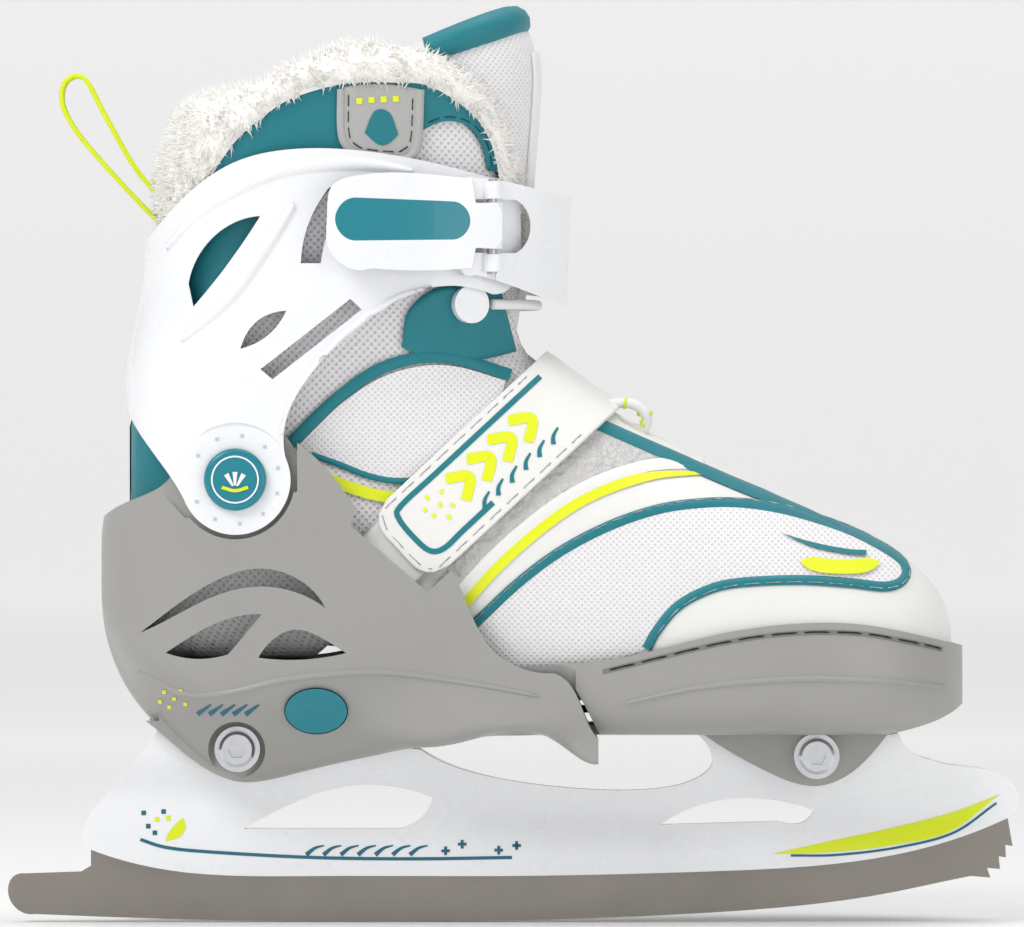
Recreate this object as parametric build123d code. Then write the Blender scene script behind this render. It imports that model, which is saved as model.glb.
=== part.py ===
from build123d import *
import math
import os

# A child's size-adjustable ice skate for the right foot: a toothed figure blade in a moulded
# holder, two moulded half shells that slide apart to change the size, a pivoting cuff with a
# lever buckle, a padded boot with a tongue, and a strap across the instep.
# X points to the toe, Y to the inner side of the foot, Z up. The ice is at Z = 0.
# Lengths are in millimetres.

# ---------------------------------------------------------------- driving sizes
skate_length = 303.0  # blade tail to the foremost tooth
skate_height = 276.0  # ice to the top of the tongue
boot_width = 91.0  # soft boot at the ball of the foot

shell_wall = 3.0
toe_wall = 2.8
cuff_wall = 3.2
liner_wall = 5.5
insole_thickness = 3.0
insole_end = -8.6  # drawn X
fit_gap = 0.7  # between the soft boot and the toe shell
slide_gap = 0.5  # between parts that slide on each other
arm_play = 0.8  # more room for the arms of the toe shell
swing_gap = 0.4  # between the cuff and the ears it turns on
seat_gap = 0.1  # between the holder and the shell's ears
touch_gap = 0.3  # between soft pieces laid on each other

blade_thickness = 3.0
tang_thickness = 2.6
holder_half_rail = 5.2
holder_half_web = 4.2
holder_half_seat = 12.0

bolt_radius = 4.0
bolt_head_radius = 5.4
bolt_head_height = 4.0
bolt_socket_across = 5.0
bolt_socket_depth = 3.0
nut_height = 5.0
washer_radius = 6.85
washer_thickness = 1.2
bolt_pocket_radius = 8.6
ear_thickness = 4.0

sole_plate_thickness = 3.0
sole_plate_half = 23.0
well_roof = 2.6

pivot_radius = 4.0
pivot_gap = 0.06
pivot_head_radius = 6.5
pivot_head_height = 1.2
pivot_cap_radius = 9.3
pivot_cap_height = 2.4
pivot_cap_gap = 0.3
pivot_floor = 39.0  # from the middle plane to the outer face of the ears
pivot_ear_thickness = 4.0
lobe_radius = 16.4

size_travel = 20.0
size_steps = 3
rack_half = 9.0
rack_thickness = 2.0
rack_notch_width = 3.6
rack_notch_depth = 2.0
rack_screw_radius = 2.0
button_travel = 2.5
button_half_length = 9.2
button_half_height = 6.8
button_proud = 1.0
button_gap = 0.3
button_back = -22.0  # Y of the button's inner end
button_stem_half = 3.0
button_stem_thickness = 2.0
button_hook_gap = 0.3
spring_radius = 2.4
spring_wire = 0.4
spring_turns = 2.5

wedge_front = (25.0, 32.0)  # degrees: top of the foot part, bottom of the ankle part
wedge_back = (172.0, 166.0)
wedge_core = 9.0  # both parts are cut away this far round the pivot
size_split_gap = 0.8

flap_width = 27.2
flap_skin = (2.2, 4.8)  # between these distances outside the boot
tab_skin = (0.4, 1.8)

ladder_thickness = 1.6
strap_skin = (2.0, 4.8)  # outside the cuff
lever_skin = (5.4, 8.8)
inlay_thickness = 0.8
hinge_pin_radius = 1.5
hinge_knuckle_radius = 3.2
hinge_gap = 0.06
lever_pin_x = -6.0
lever_pin_depth = 4.6
anchor_pin_x = -26.0
anchor_pin_depth = 4.0

hook_head_radius = 5.7
lace_radius = 1.6
loop_width = 10.0
loop_thickness = 1.2
badge_thickness = 1.4
rivet_radius = 2.0
rivet_head_radius = 4.4
rivet_head_height = 1.4
bracket_thickness = 0.8
anchor_along = 26.0  # drawn length from the notch to the flap's inner end
flap_fold = 2.4  # gap at the flap's sewn line, so that it folds clear of its tab

# The outlines are drawn for these sizes and stretched to the driving sizes.
kx = skate_length / 303.0
kz = skate_height / 276.0
ky = boot_width / 91.0

parts = {}


# ---------------------------------------------------------------- drawing helpers
def at(x, z, y=0.0):
    """A point drawn at (x, z) in the side view, at the model's size."""
    return Vector(x * kx, y, z * kz)


def side_face(*runs):
    """A side-view face bounded by runs of drawn points: two points make a line, more a curve."""
    edges = []
    for run in runs:
        points = [at(*p) for p in run]
        edges.append(Line(*points) if len(points) == 2 else Spline(*points))
    return Face(Wire(edges))


def polygon(*points):
    return side_face(*zip(points, points[1:] + points[:1]))


def slab(face, low, high):
    """The side-view face as a solid between two values of Y."""
    return Part() + extrude(Pos(0, low, 0) * face, high - low, dir=(0, 1, 0))


def through(face):
    return slab(face, -200.0, 200.0)


def rod(x, z, radius, low, high):
    """A round bar along Y, at a true place in the side view."""
    base = Plane(origin=(x, low, z), x_dir=(1, 0, 0), z_dir=(0, 1, 0))
    return base * Cylinder(radius, high - low, align=(Align.CENTER, Align.CENTER, Align.MIN))


def block(x, y, z):
    """A box from its (low, high) pairs."""
    size = [high - low for low, high in (x, y, z)]
    return Pos(x[0], y[0], z[0]) * Box(*size, align=(Align.MIN, Align.MIN, Align.MIN))


def both_sides(part):
    return part + mirror(part, about=Plane.XZ)


def ring(points):
    return Wire([Spline(*points, periodic=True)])


def loft_rings(rings):
    return Part() + Solid.make_loft(rings)


def polar(degrees, reach):
    """A true point at an angle and a distance from the cuff's pivot."""
    turn = math.radians(degrees)
    return Vector(pivot_x + reach * math.cos(turn), 0, pivot_z + reach * math.sin(turn))


# ---------------------------------------------------------------- the boot's forms
# Along the foot: drawn x, half width, sole z, ridge z, lean to the inner side.
FOOT = [
    (-114.6, 12.0, 92.0, 150.0, 0.0),
    (-112.8, 19.0, 85.0, 158.0, 0.0),
    (-107.5, 26.5, 80.5, 166.0, 0.0),
    (-98.0, 31.0, 79.0, 174.0, 0.0),
    (-82.0, 33.0, 78.5, 182.0, 0.0),
    (-55.0, 34.0, 77.5, 188.0, 0.0),
    (-30.0, 35.5, 74.5, 190.0, 0.0),
    (-10.0, 37.0, 70.5, 182.0, 0.0),
    (10.0, 38.6, 68.0, 169.0, 0.3),
    (30.0, 41.5, 67.0, 154.5, 1.2),
    (50.0, 44.3, 66.6, 143.5, 2.4),
    (72.0, 45.5, 66.4, 132.5, 3.4),
    (90.0, 44.6, 66.4, 124.0, 4.0),
    (105.0, 41.5, 66.8, 117.5, 4.5),
    (117.0, 35.5, 68.0, 111.0, 4.9),
    (125.5, 27.0, 70.5, 104.0, 5.2),
    (130.5, 16.5, 75.0, 96.5, 5.4),
    (132.2, 8.0, 80.0, 91.0, 5.5),
]
FOOT_MIDDLE = 10.0
# Fractions of the half width and of the height, from the sole's middle up to the ridge.
FOOT_SHAPE = [(0, 0), (0.3, 0), (0.6, 0), (0.76, 0.012), (0.92, 0.07), (1, 0.24)]
FOOT_SHAPE += [(0.95, 0.5), (0.76, 0.76), (0.42, 0.94), (0, 1)]

# Up the leg: drawn z, back x, front x, half width, squareness behind the widest part.
LEG = [
    (122.0, -114.4, 20.0, 33.0, 2.6),
    (137.0, -113.4, 16.0, 33.3, 2.6),
    (152.0, -110.8, 12.0, 34.0, 2.6),
    (170.0, -111.2, 6.5, 34.8, 2.6),
    (188.0, -108.3, 6.0, 35.5, 2.5),
    (205.0, -105.8, 7.5, 36.4, 2.5),
    (225.0, -103.2, 8.5, 37.2, 2.4),
    (245.0, -101.0, 8.0, 38.2, 2.4),
    (262.0, -98.5, 7.2, 38.8, 2.4),
    (280.0, -96.0, 5.8, 39.2, 2.4),
]
LEG_WIDEST = -70.0

# The outside of the cuff, drawn like the leg.
CUFF = [
    (108.0, -114.5, 14.0, 43.0, 5.0),
    (133.5, -114.5, 12.5, 43.0, 5.0),
    (150.0, -115.0, 12.0, 43.0, 4.2),
    (167.0, -116.0, 12.0, 42.6, 3.2),
    (185.0, -112.8, 12.0, 42.0, 2.6),
    (200.0, -110.8, 12.5, 42.2, 2.6),
    (218.0, -108.5, 13.0, 42.8, 2.6),
    (240.0, -107.0, 14.0, 43.8, 2.6),
]

# Along the heel shell: drawn x, keel z, keel half width, widest half width, height of the form.
HEEL = [
    (-123.4, 94.0, 5.0, 13.0, 119.0),
    (-121.2, 83.0, 9.0, 23.0, 131.0),
    (-116.5, 72.0, 11.0, 31.0, 145.0),
    (-108.5, 61.5, 13.0, 37.0, 160.0),
    (-98.0, 51.5, 14.5, 40.5, 172.0),
    (-88.0, 44.6, 15.6, 42.3, 178.0),
    (-79.0, 42.6, 16.0, 42.8, 182.0),
    (-68.0, 44.6, 16.4, 43.0, 182.0),
    (-52.0, 48.6, 20.0, 43.2, 182.0),
    (-32.0, 53.0, 32.0, 43.8, 180.0),
    (-10.0, 56.4, 40.0, 45.6, 174.0),
    (10.0, 57.0, 41.5, 47.8, 166.0),
    (32.0, 57.0, 43.0, 50.0, 158.0),
]
HEEL_MIDDLE = -40.0


def foot_form(grow, first=-200.0, sole=None, least_half=0.0):
    """The foot, grown outwards; with a flat sole at a true height if one is given."""
    rings = []
    for x, half, low, high, lean in FOOT:
        if x < first:
            continue
        wide = max((max(half, least_half) if x < FOOT_MIDDLE + 1 else half) * ky + grow, 4.0)
        bottom = low * kz - grow if sole is None else sole
        tall = max(high * kz + grow - bottom, 4.0)
        along = x * kx + grow * (x - FOOT_MIDDLE) / (FOOT[-1][0] - FOOT_MIDDLE)
        right = [(along, lean * ky - a * wide, bottom + b * tall) for a, b in FOOT_SHAPE]
        left = [(along, lean * ky + a * wide, bottom + b * tall) for a, b in FOOT_SHAPE[-2:0:-1]]
        rings.append(ring(right + left))
    form = loft_rings(rings)
    return form if sole is None else form & block((-300, 300), (-200, 200), (sole, 400))


def leg_form(grow, table=LEG, front_square=2.2):
    """A leg form, grown outwards, from level rings."""
    rings = []
    for z, back, front, half, back_square in table:
        points = []
        for step in range(16):
            turn = math.tau * step / 16
            ahead, side = math.cos(turn), math.sin(turn)
            reach = (front - LEG_WIDEST if ahead >= 0 else LEG_WIDEST - back) * kx + grow
            power = 2 / (front_square if ahead >= 0 else back_square)
            x = LEG_WIDEST * kx + reach * math.copysign(abs(ahead) ** power, ahead)
            y = (half * ky + grow) * math.copysign(abs(side) ** power, side)
            points.append((x, y, z * kz))
        rings.append(ring(points))
    return loft_rings(rings)


def leg_point(x, z, grow, side, table=LEG, front_square=2.2):
    """A point on a leg form, with the form's level outward direction there."""
    for low, high in zip(table, table[1:]):
        if z <= high[0]:
            break
    share = (z - low[0]) / (high[0] - low[0])
    _, back, front, half, back_square = [a + (b - a) * share for a, b in zip(low, high)]
    ahead = x >= LEG_WIDEST
    power = front_square if ahead else back_square
    reach = (front - LEG_WIDEST if ahead else LEG_WIDEST - back) * kx + grow
    wide = half * ky + grow
    share = abs(x - LEG_WIDEST) * kx / reach
    rise = (1 - share**power) ** (1 / power)
    slope_x = math.copysign(share ** (power - 1) / reach, x - LEG_WIDEST)
    slope_y = side * rise ** (power - 1) / wide
    return Vector(x * kx, side * rise * wide, z * kz), Vector(slope_x, slope_y, 0).normalized()


def heel_form(grow):
    """The heel shell's hull: upright sides that turn in under the foot to a keel."""
    rings = []
    for x, keel, keel_half, half, high in HEEL:
        low, top = keel * kz - grow, high * kz + grow
        wide, narrow = half * ky + grow, keel_half * ky + grow
        belly = low + (top - low) * 0.26
        along = x * kx + grow * (x - HEEL_MIDDLE) / (HEEL[-1][0] - HEEL_MIDDLE)
        right = [
            (0, low),
            (narrow * 0.45, low),
            (narrow * 0.85, low + 0.1),
            (narrow + 1.5, low + 2.5),
            (narrow + (wide - narrow) * 0.45, low + (belly - low) * 0.38),
            (wide * 0.95, low + (belly - low) * 0.75),
            (wide, belly + 6.0),
            (wide, belly + (top - belly) * 0.5),
            (wide * 0.93, top - (top - belly) * 0.18),
            (wide * 0.6, top - (top - belly) * 0.04),
            (0, top),
        ]
        loop = [(along, -y, z) for y, z in right] + [(along, y, z) for y, z in right[-2:0:-1]]
        rings.append(ring(loop))
    return loft_rings(rings)


# ---------------------------------------------------------------- shared places
pivot_x, pivot_z = at(-82.5, 133.5).X, at(-82.5, 133.5).Z
bolt_places = [(p.X, p.Z) for p in (at(-82.5, 52.5), at(91.5, 50.4))]
sole_z = at(0, 57.0).Z
plate_top = sole_z + sole_plate_thickness
toe_floor_low = plate_top + slide_gap
toe_floor_top = toe_floor_low + toe_wall
rack_top = toe_floor_top + rack_thickness
well_top = toe_floor_top - slide_gap - well_roof
ear_face = holder_half_seat + seat_gap
washer_face = ear_face + ear_thickness
head_face = washer_face + washer_thickness
spring_seat = -washer_face
button_x = at(-58.5, 0).X
button_z = toe_floor_top + rack_thickness / 2
stem_low = rack_top + slide_gap


def wedge(degrees_front, degrees_back, above):
    """Everything above, or below, two rays from the pivot, clear of the pivot itself."""
    front, back = polar(degrees_front, 400), polar(degrees_back, 400)
    height = 500 if above else -500
    points = [Vector(pivot_x, 0, pivot_z), front, Vector(front.X, 0, height), Vector(back.X, 0, height), back]
    face = Face(Wire([Line(a, b) for a, b in zip(points, points[1:] + points[:1])]))
    return through(face) - rod(pivot_x, pivot_z, wedge_core, -200, 200)


def size_split(ahead):
    """Everything ahead of, or behind, the slanting joint between the two halves of the boot."""
    shift = size_split_gap if ahead else 0.0
    far = 300 if ahead else -300
    return polygon((-32.9 + shift, 31), (67.1 + shift, 190), (far, 190), (far, 31))


# ---------------------------------------------------------------- blade and holder
RAIL = [(-127, 22), (-105, 16), (-60, 14), (0, 14), (60, 15.4), (120, 21.4), (149.5, 31.5)]


def make_blade():
    """Steel runner: a straight tail, a long rocker and four drag teeth, with a tang in the holder."""
    heel = [(-147, 14.6), (-151.2, 12.8), (-152, 9), (-150, 4.6), (-144, 2.4)]
    rocker = [(-144, 2.4), (-90, 0.6), (-25, 0.1), (56, 2.6), (116, 9.2), (132, 12.6), (138.4, 13.9)]
    teeth = [(138.4, 13.9), (144.3, 13.4), (143.3, 16.3), (147.2, 16), (146.8, 19.8), (149, 19.5)]
    teeth += [(148.8, 23.3), (151, 22.9), (149.5, 31.5)]
    tail = [[(-127, 22), (-127, 17)], [(-127, 17), (-130, 15.2)], [(-130, 15.2), (-147, 14.6)]]
    exposed = side_face(*tail, heel, rocker, *zip(teeth, teeth[1:]), RAIL[::-1])
    low = [(-118, 18), (-60, 12.8), (0, 12.8), (60, 14.2), (141, 27)]
    high = [(141, 35), (110, 29), (60, 25), (0, 24.5), (-60, 25), (-118, 28)]
    tang = side_face(low, [low[-1], high[0]], high, [high[-1], low[0]])
    blade = slab(tang, -tang_thickness / 2, tang_thickness / 2)
    for x in (-100, -45, 0, 45, 100):
        hole = at(x, 21.5 if abs(x) < 60 else 24.5)
        blade -= rod(hole.X, hole.Z, 1.6, -5, 5)
    return blade + slab(exposed, -blade_thickness / 2, blade_thickness / 2)


def make_holder(blade):
    """Moulded holder: a rail on the blade, a web with two windows, and a seat at each end."""
    heel = [(-106, 59), (-110, 53.4), (-117, 44.5), (-124.5, 36), (-128.6, 30), (-129.3, 26), (-127, 22)]
    nose = [(149.5, 31.5), (152.6, 36), (152.2, 40), (148.5, 44), (139, 46.8), (126, 49.2)]
    chin = [(126, 49.2), (119.5, 52), (116, 58)]
    arch = [(54, 58), (59.6, 52), (60.4, 48), (56, 43.6), (46, 40.6), (30, 39.8), (10, 41.2)]
    arch += [(-8, 44.2), (-20, 48), (-27.6, 52.2)]
    outline = side_face(RAIL, nose, chin, [(116, 58), (54, 58)], arch,
                        [(-27.6, 52.2), (-30.6, 52.6)], [(-30.6, 52.6), (-30.6, 66)], [(-30.6, 66), (-106, 66)],
                        [(-106, 66), (-106, 59)], heel)
    rear_window = side_face(
        [(-81, 28.2), (-64, 36.8), (-50, 41), (-38, 41.2), (-23.8, 37.6)],
        [(-23.8, 37.6), (-27.6, 31.2), (-34, 28.2)],
        [(-34, 28.2), (-81, 28.2)],
    )
    front_window = side_face(
        [(44.6, 29.4), (50, 32.6), (91, 33.8)],
        [(91, 33.8), (90, 32), (80, 30.4)],
        [(80, 30.4), (44.6, 29.4)],
    )
    rail, web, seat = holder_half_rail, holder_half_web, holder_half_seat
    half_at = [(12, rail - 0.6), (18, rail), (24, rail), (32, web), (40, web + 1.4)]
    half_at += [(49, seat - 1.6), (56, seat), (68, seat)]
    right = [(0, -half, z * kz) for z, half in half_at]
    left = [(0, half, z * kz) for z, half in half_at]
    edges = [Spline(*right), Line(right[-1], left[-1]), Spline(*left[::-1]), Line(left[0], right[0])]
    start, end = at(-160, 0).X, at(160, 0).X
    bar = extrude(Pos(start, 0, 0) * Face(Wire(edges)), end - start, dir=(1, 0, 0))
    holder = (Part() + bar) & slab(outline, -holder_half_seat, holder_half_seat)
    holder -= through(rear_window) + through(front_window)
    holder -= block((at(40, 0).X, end), (-40, 40), (sole_z, 100))
    holder -= block((start, at(40, 0).X), (-40, 40), (well_top, 100))
    holder -= blade
    for x, z in bolt_places:
        holder -= rod(x, z, bolt_radius, -40, 40)
    return holder


def hexagon(x, z, across, low, high):
    base = Plane(origin=(x, low, z), x_dir=(1, 0, 0), z_dir=(0, 1, 0))
    return Part() + extrude(base * RegularPolygon(across / math.sqrt(3), 6), high - low)


def make_axle_hardware():
    """Two socket-head axle bolts through the holder, each with two washers and a sleeve nut."""
    bolts, washers, nuts = Part(), Part(), Part()
    for x, z in bolt_places:
        head = rod(x, z, bolt_head_radius, -head_face - bolt_head_height, -head_face)
        head = chamfer(head.edges().filter_by(GeomType.CIRCLE).sort_by(Axis.Y)[0], 0.9)
        head -= hexagon(x, z, bolt_socket_across, -60, -head_face - bolt_head_height + bolt_socket_depth)
        bolts += head + rod(x, z, bolt_radius, -head_face, head_face + nut_height - 1)
        nut = rod(x, z, bolt_head_radius, head_face, head_face + nut_height)
        nut = chamfer(nut.edges().filter_by(GeomType.CIRCLE).sort_by(Axis.Y)[-1], 0.9)
        nut -= rod(x, z, bolt_radius, 0, head_face + nut_height - 1)
        nuts += nut - hexagon(x, z, bolt_socket_across, head_face + nut_height - 1, 60)
        for face in (-head_face, washer_face):
            disc = rod(x, z, washer_radius, face, face + washer_thickness)
            washers += disc - rod(x, z, bolt_radius, -60, 60)
    return bolts, washers, nuts


# ---------------------------------------------------------------- heel shell
def heel_outline():
    """What the side view keeps of the heel shell."""
    top = [(-125, 120), (-114.6, 127), (-103, 133), (-97, 143), (-89, 149.5), (-80, 151), (-70.5, 148.2)]
    edge = [(-70.5, 148.2), (-64, 144.5), (-58, 139.5), (-46.6, 125)]
    notch = [(-46.6, 125), (-48, 119.6), (-25.2, 100), (-17.8, 106.5)]
    wing = [(-17.8, 106.5), (-12.4, 94), (-5, 82), (2, 77.6), (12.6, 75.8)]
    step = [(12.6, 75.8), (16.2, 73.6), (20.6, 66), (25.8, 56)]
    below = [(25.8, 56), (25.8, 30), (-135, 30), (-135, 120), (-125, 120)]
    return side_face(top, edge, *zip(notch, notch[1:]), wing, step, *zip(below, below[1:]))


def heel_windows():
    crescent = side_face(
        [(-111, 87.8), (-103.4, 93.6), (-90.5, 102.2), (-75, 107), (-66, 105), (-55.6, 95.2)],
        [(-55.6, 95.2), (-66, 100.4), (-76, 101.6), (-87, 99.4), (-97, 94.8), (-111, 87.8)],
    )
    rear = side_face(
        [(-103.4, 81.8), (-95.6, 86.8), (-85.3, 91.8), (-74.6, 93.4)],
        [(-74.6, 93.4), (-84.6, 81.4)],
        [(-84.6, 81.4), (-94, 80), (-103.4, 81.8)],
    )
    front = side_face(
        [(-75.6, 80.4), (-71, 86), (-65, 88.8), (-58, 87), (-49.4, 81.8)],
        [(-49.4, 81.8), (-60, 80), (-75.6, 80.4)],
    )
    return through(crescent) + through(rear) + through(front)


def button_prism(grow, low, high):
    plane = Plane(origin=(button_x, high, button_z), x_dir=(1, 0, 0), z_dir=(0, -1, 0))
    return Part() + extrude(plane * Ellipse(button_half_length + grow, button_half_height + grow), high - low)


def make_heel_shell():
    """The rear half shell, with ears for the cuff and the holder, and a sole plate to the front."""
    hull = heel_form(0)
    keep = through(heel_outline())
    floor = pivot_floor * ky
    shell = ((hull - heel_form(-shell_wall)) & keep) - heel_windows()
    neck = polygon((-97.5, 122), (-119, 146), (-121, 180), (-48, 180), (-64, 146), (-64, 130))
    pocket = rod(pivot_x, pivot_z, lobe_radius + 1.4, floor, 80) + slab(neck, floor, 80)
    shell -= both_sides(pocket)
    ear = rod(pivot_x, pivot_z, lobe_radius + 3.4, floor - pivot_ear_thickness, floor)
    shell += both_sides(ear & keep & hull)
    # The plate under the toe shell carries the front ears; the rear ears stand round a well.
    front = at(114, 0).X
    plate = block((at(-12, 0).X, front), (-sole_plate_half, sole_plate_half), (sole_z, plate_top))
    roof = block((at(-106, 0).X, at(-30.5, 0).X), (-washer_face, washer_face), (well_top, well_top + well_roof))
    front_ear = side_face(
        [(56, 58), (64, 52.6), (76, 46), (84, 42.6), (91.5, 41.4), (99, 43.6), (108, 51), (113.6, 58)],
        [(113.6, 58), (56, 58)],
    )
    rear_ear = side_face(
        [(-110, 61), (-101, 53.4), (-92, 46.6), (-82, 42.8), (-71, 44.2), (-54, 48.6), (-34, 53)],
        [(-34, 53), (-34, 61)],
        [(-34, 61), (-110, 61)],
    )
    ears = slab(front_ear, -washer_face, -ear_face) + slab(rear_ear, -washer_face, -ear_face)
    shell += plate + roof + both_sides(ears)
    shell -= block((at(-130, 0).X, at(-30.4, 0).X), (-ear_face, ear_face), (0, well_top))
    seat = block((button_x - 6, button_x + 6), (spring_seat, spring_seat + 2.5), (at(0, 46).Z, stem_low - 1))
    shell += seat & hull
    # A boss round the rear bolt gives its head a pocket to lie in.
    x, z = bolt_places[0]
    shell += both_sides(rod(x, z, bolt_pocket_radius + 2.4, ear_face, 40)) & hull & below_rack()
    shell -= both_sides(rod(x, z, bolt_pocket_radius, washer_face, 60))
    x, z = bolt_places[1]
    shell -= both_sides(rod(x, z, washer_radius + 0.3, washer_face, 60))
    for x, z in bolt_places:
        shell -= rod(x, z, bolt_radius, -80, 80)
    shell -= rod(pivot_x, pivot_z, pivot_radius, -80, 80)
    shell -= button_prism(button_gap, -80, -20)
    return shell


def below_rack():
    return block((-300, 300), (-200, 200), (0, toe_floor_top - slide_gap))


def make_foot_board():
    """A moulded board across the heel shell, under the soft boot."""
    line = [(-106, 77.8), (-82, 76.8), (-55, 75.8), (-30, 72.8), (-13, 69.6)]
    lower = [(x, z - 2) for x, z in line]
    face = side_face(line, [line[-1], lower[-1]], lower[::-1], [lower[0], line[0]])
    return (slab(face, -60, 60) & heel_form(-shell_wall)) - foot_form(touch_gap)


# ---------------------------------------------------------------- toe shell and size latch
def make_toe_shell():
    """The front half shell: a cup for the toes whose sides run back inside the heel shell."""
    edge = [(-10, 77.4), (14, 78.4), (34.5, 80.8), (62.6, 87.6), (82.7, 90.4), (103, 90.4), (119, 87.6), (142, 82)]
    nose = [(142, 82), (141.4, 74), (137, 67.4), (129.5, 62.4), (120, 59), (108, 56)]
    sides = [(108, 56), (108, 40), (26.8, 40), (26.8, 56), (21.8, 66), (19, 71), (-10, 71), (-10, 77.4)]
    keep = through(side_face(edge, nose, *zip(sides, sides[1:])))
    cup = foot_form(fit_gap + toe_wall, first=-30, sole=sole_z, least_half=38.6)
    # The hollow keeps clear of the nose's curve, so the wall stays full there.
    curve = [(112, 50), (118, 62), (126, 65.4), (132, 70.6), (135.4, 79), (136, 95)]
    bounds = [(136, 95), (136, 140), (-60, 140), (-60, 50), (112, 50)]
    room = through(side_face(curve, *zip(bounds, bounds[1:])))
    cup -= foot_form(fit_gap, first=-30, sole=toe_floor_top, least_half=38.6) & room
    channel = (-sole_plate_half - slide_gap, sole_plate_half + slide_gap)
    cup -= block((-200, at(115, 0).X), channel, (0, toe_floor_low))
    cup -= block((-200, at(60, 0).X), (-rack_half - 0.4, rack_half + 0.4), (toe_floor_top, rack_top + 1))
    arms = block((-200, at(19, 0).X), (-100, 100), (0, 200))
    cup -= arms - heel_form(-shell_wall - slide_gap - arm_play)
    return (cup & keep) - make_size_rack()[1]


def make_size_rack():
    """A notched bar on the toe shell's floor; the push button's hook holds one of its notches."""
    end = at(44, 0).X
    start = at(-90, 0).X
    rack = block((start, end), (-rack_half, rack_half), (toe_floor_top, rack_top))
    for step in range(size_steps + 1):
        middle = button_x - step * size_travel / size_steps
        width = rack_notch_width / 2
        rack -= block((middle - width, middle + width), (rack_half - rack_notch_depth, 60), (0, 200))
    screws = Part()
    for x in (at(34, 0).X, at(40, 0).X):
        for side in (-1, 1):
            place = (x - 1, side * 4.5)
            screw = Pos(*place, toe_floor_low) * Cylinder(
                rack_screw_radius / 2, rack_top - toe_floor_low, align=(Align.CENTER, Align.CENTER, Align.MIN))
            screws += screw
    return rack - screws, screws


def make_push_button():
    """An oval button in the shell's outer side, with a stem over the rack and a hook at its end."""
    face = heel_form(button_proud)
    button = button_prism(0, -80, button_back) & face
    reach = rack_half + button_hook_gap
    stem = block(
        (button_x - button_stem_half, button_x + button_stem_half),
        (button_back - 2, reach + 2.5),
        (stem_low, stem_low + button_stem_thickness),
    )
    hook = block((button_x - 1.5, button_x + 1.5), (reach, reach + 2.5), (toe_floor_top + 0.2, stem_low))
    return button + stem + hook


def make_button_spring():
    """A steel coil between the button and its seat in the shell."""
    length = spring_seat - button_back - 2 * spring_wire
    base = Plane(origin=(button_x, button_back + spring_wire, stem_low - 1 - spring_radius - spring_wire),
                 x_dir=(1, 0, 0), z_dir=(0, 1, 0))
    path = Wire([Edge.make_helix(length / spring_turns, length, spring_radius)])
    tip = path @ 0
    wire = Plane(origin=tip, z_dir=path % 0) * Circle(spring_wire)
    return base * sweep(wire, path)


# ---------------------------------------------------------------- cuff
def cuff_outline():
    """The cuff in the side view: a round lobe, a neck, a back, and an arm to the front."""
    back = [(-97.6, 127.2), (-105.6, 139.5), (-113.1, 150), (-117, 158), (-118, 175), (-114, 200), (-107.8, 207.4)]
    top = [(-107.8, 207.4), (-96.6, 219), (-83.1, 228), (-66.6, 231.9), (-48.6, 231.9), (-27.6, 228.9), (-3.6, 223)]
    end = [(-3.6, 223), (1.8, 219.5), (2.6, 212), (2.4, 198), (-1, 190.5), (-6, 189)]
    low = [(-6, 189), (-33.6, 187.3), (-42.6, 181.5), (-51.6, 174), (-60.6, 164), (-66.4, 154), (-67.4, 139.6)]
    base = [(-67.4, 139.6), (-66.2, 131), (-70, 122.8), (-79, 117.4), (-88, 118), (-94.6, 122.4), (-97.6, 127.2)]
    return side_face(back, top, end, low, base)


def cuff_windows():
    slit = side_face(
        [(-96.6, 192), (-92.1, 202.5), (-83.1, 210), (-75, 212.1)],
        [(-75, 212.1), (-84.6, 198), (-95.1, 185.1)],
        [(-95.1, 185.1), (-96.6, 192)],
    )
    band = side_face(
        [(-63, 198), (-60.6, 210), (-54.6, 220.5)],
        [(-54.6, 220.5), (-47.1, 222.6)],
        [(-47.1, 222.6), (-54.6, 208.5), (-57, 198)],
        [(-57, 198), (-63, 198)],
    )
    crescent = side_face(
        [(-81, 172.5), (-75, 181.5), (-67.2, 183.9)],
        [(-67.2, 183.9), (-74.1, 175.5), (-81, 172.5)],
    )
    diagonal = polygon((-75, 166.4), (-71.4, 163.4), (-44.8, 184.2), (-48.2, 187.4))
    return slit, band, crescent, diagonal


def make_cuff():
    """The moulded cuff round the back of the ankle, turning on the heel shell's two ears."""
    floor = pivot_floor * ky + swing_gap
    lobe = rod(pivot_x, pivot_z, lobe_radius, floor, floor + cuff_wall)
    cuff = leg_form(0, CUFF) - leg_form(-cuff_wall, CUFF)
    cuff &= through(cuff_outline())
    cuff -= both_sides(rod(pivot_x, pivot_z, lobe_radius + 0.6, floor + cuff_wall, 80))
    cuff += both_sides(lobe)
    cuff -= rod(pivot_x, pivot_z, lobe_radius + 4.4, -floor, floor)
    for window in cuff_windows():
        cuff -= through(window)
    cuff -= rod(pivot_x, pivot_z, pivot_radius + pivot_gap, -200, 200)
    return cuff


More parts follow.
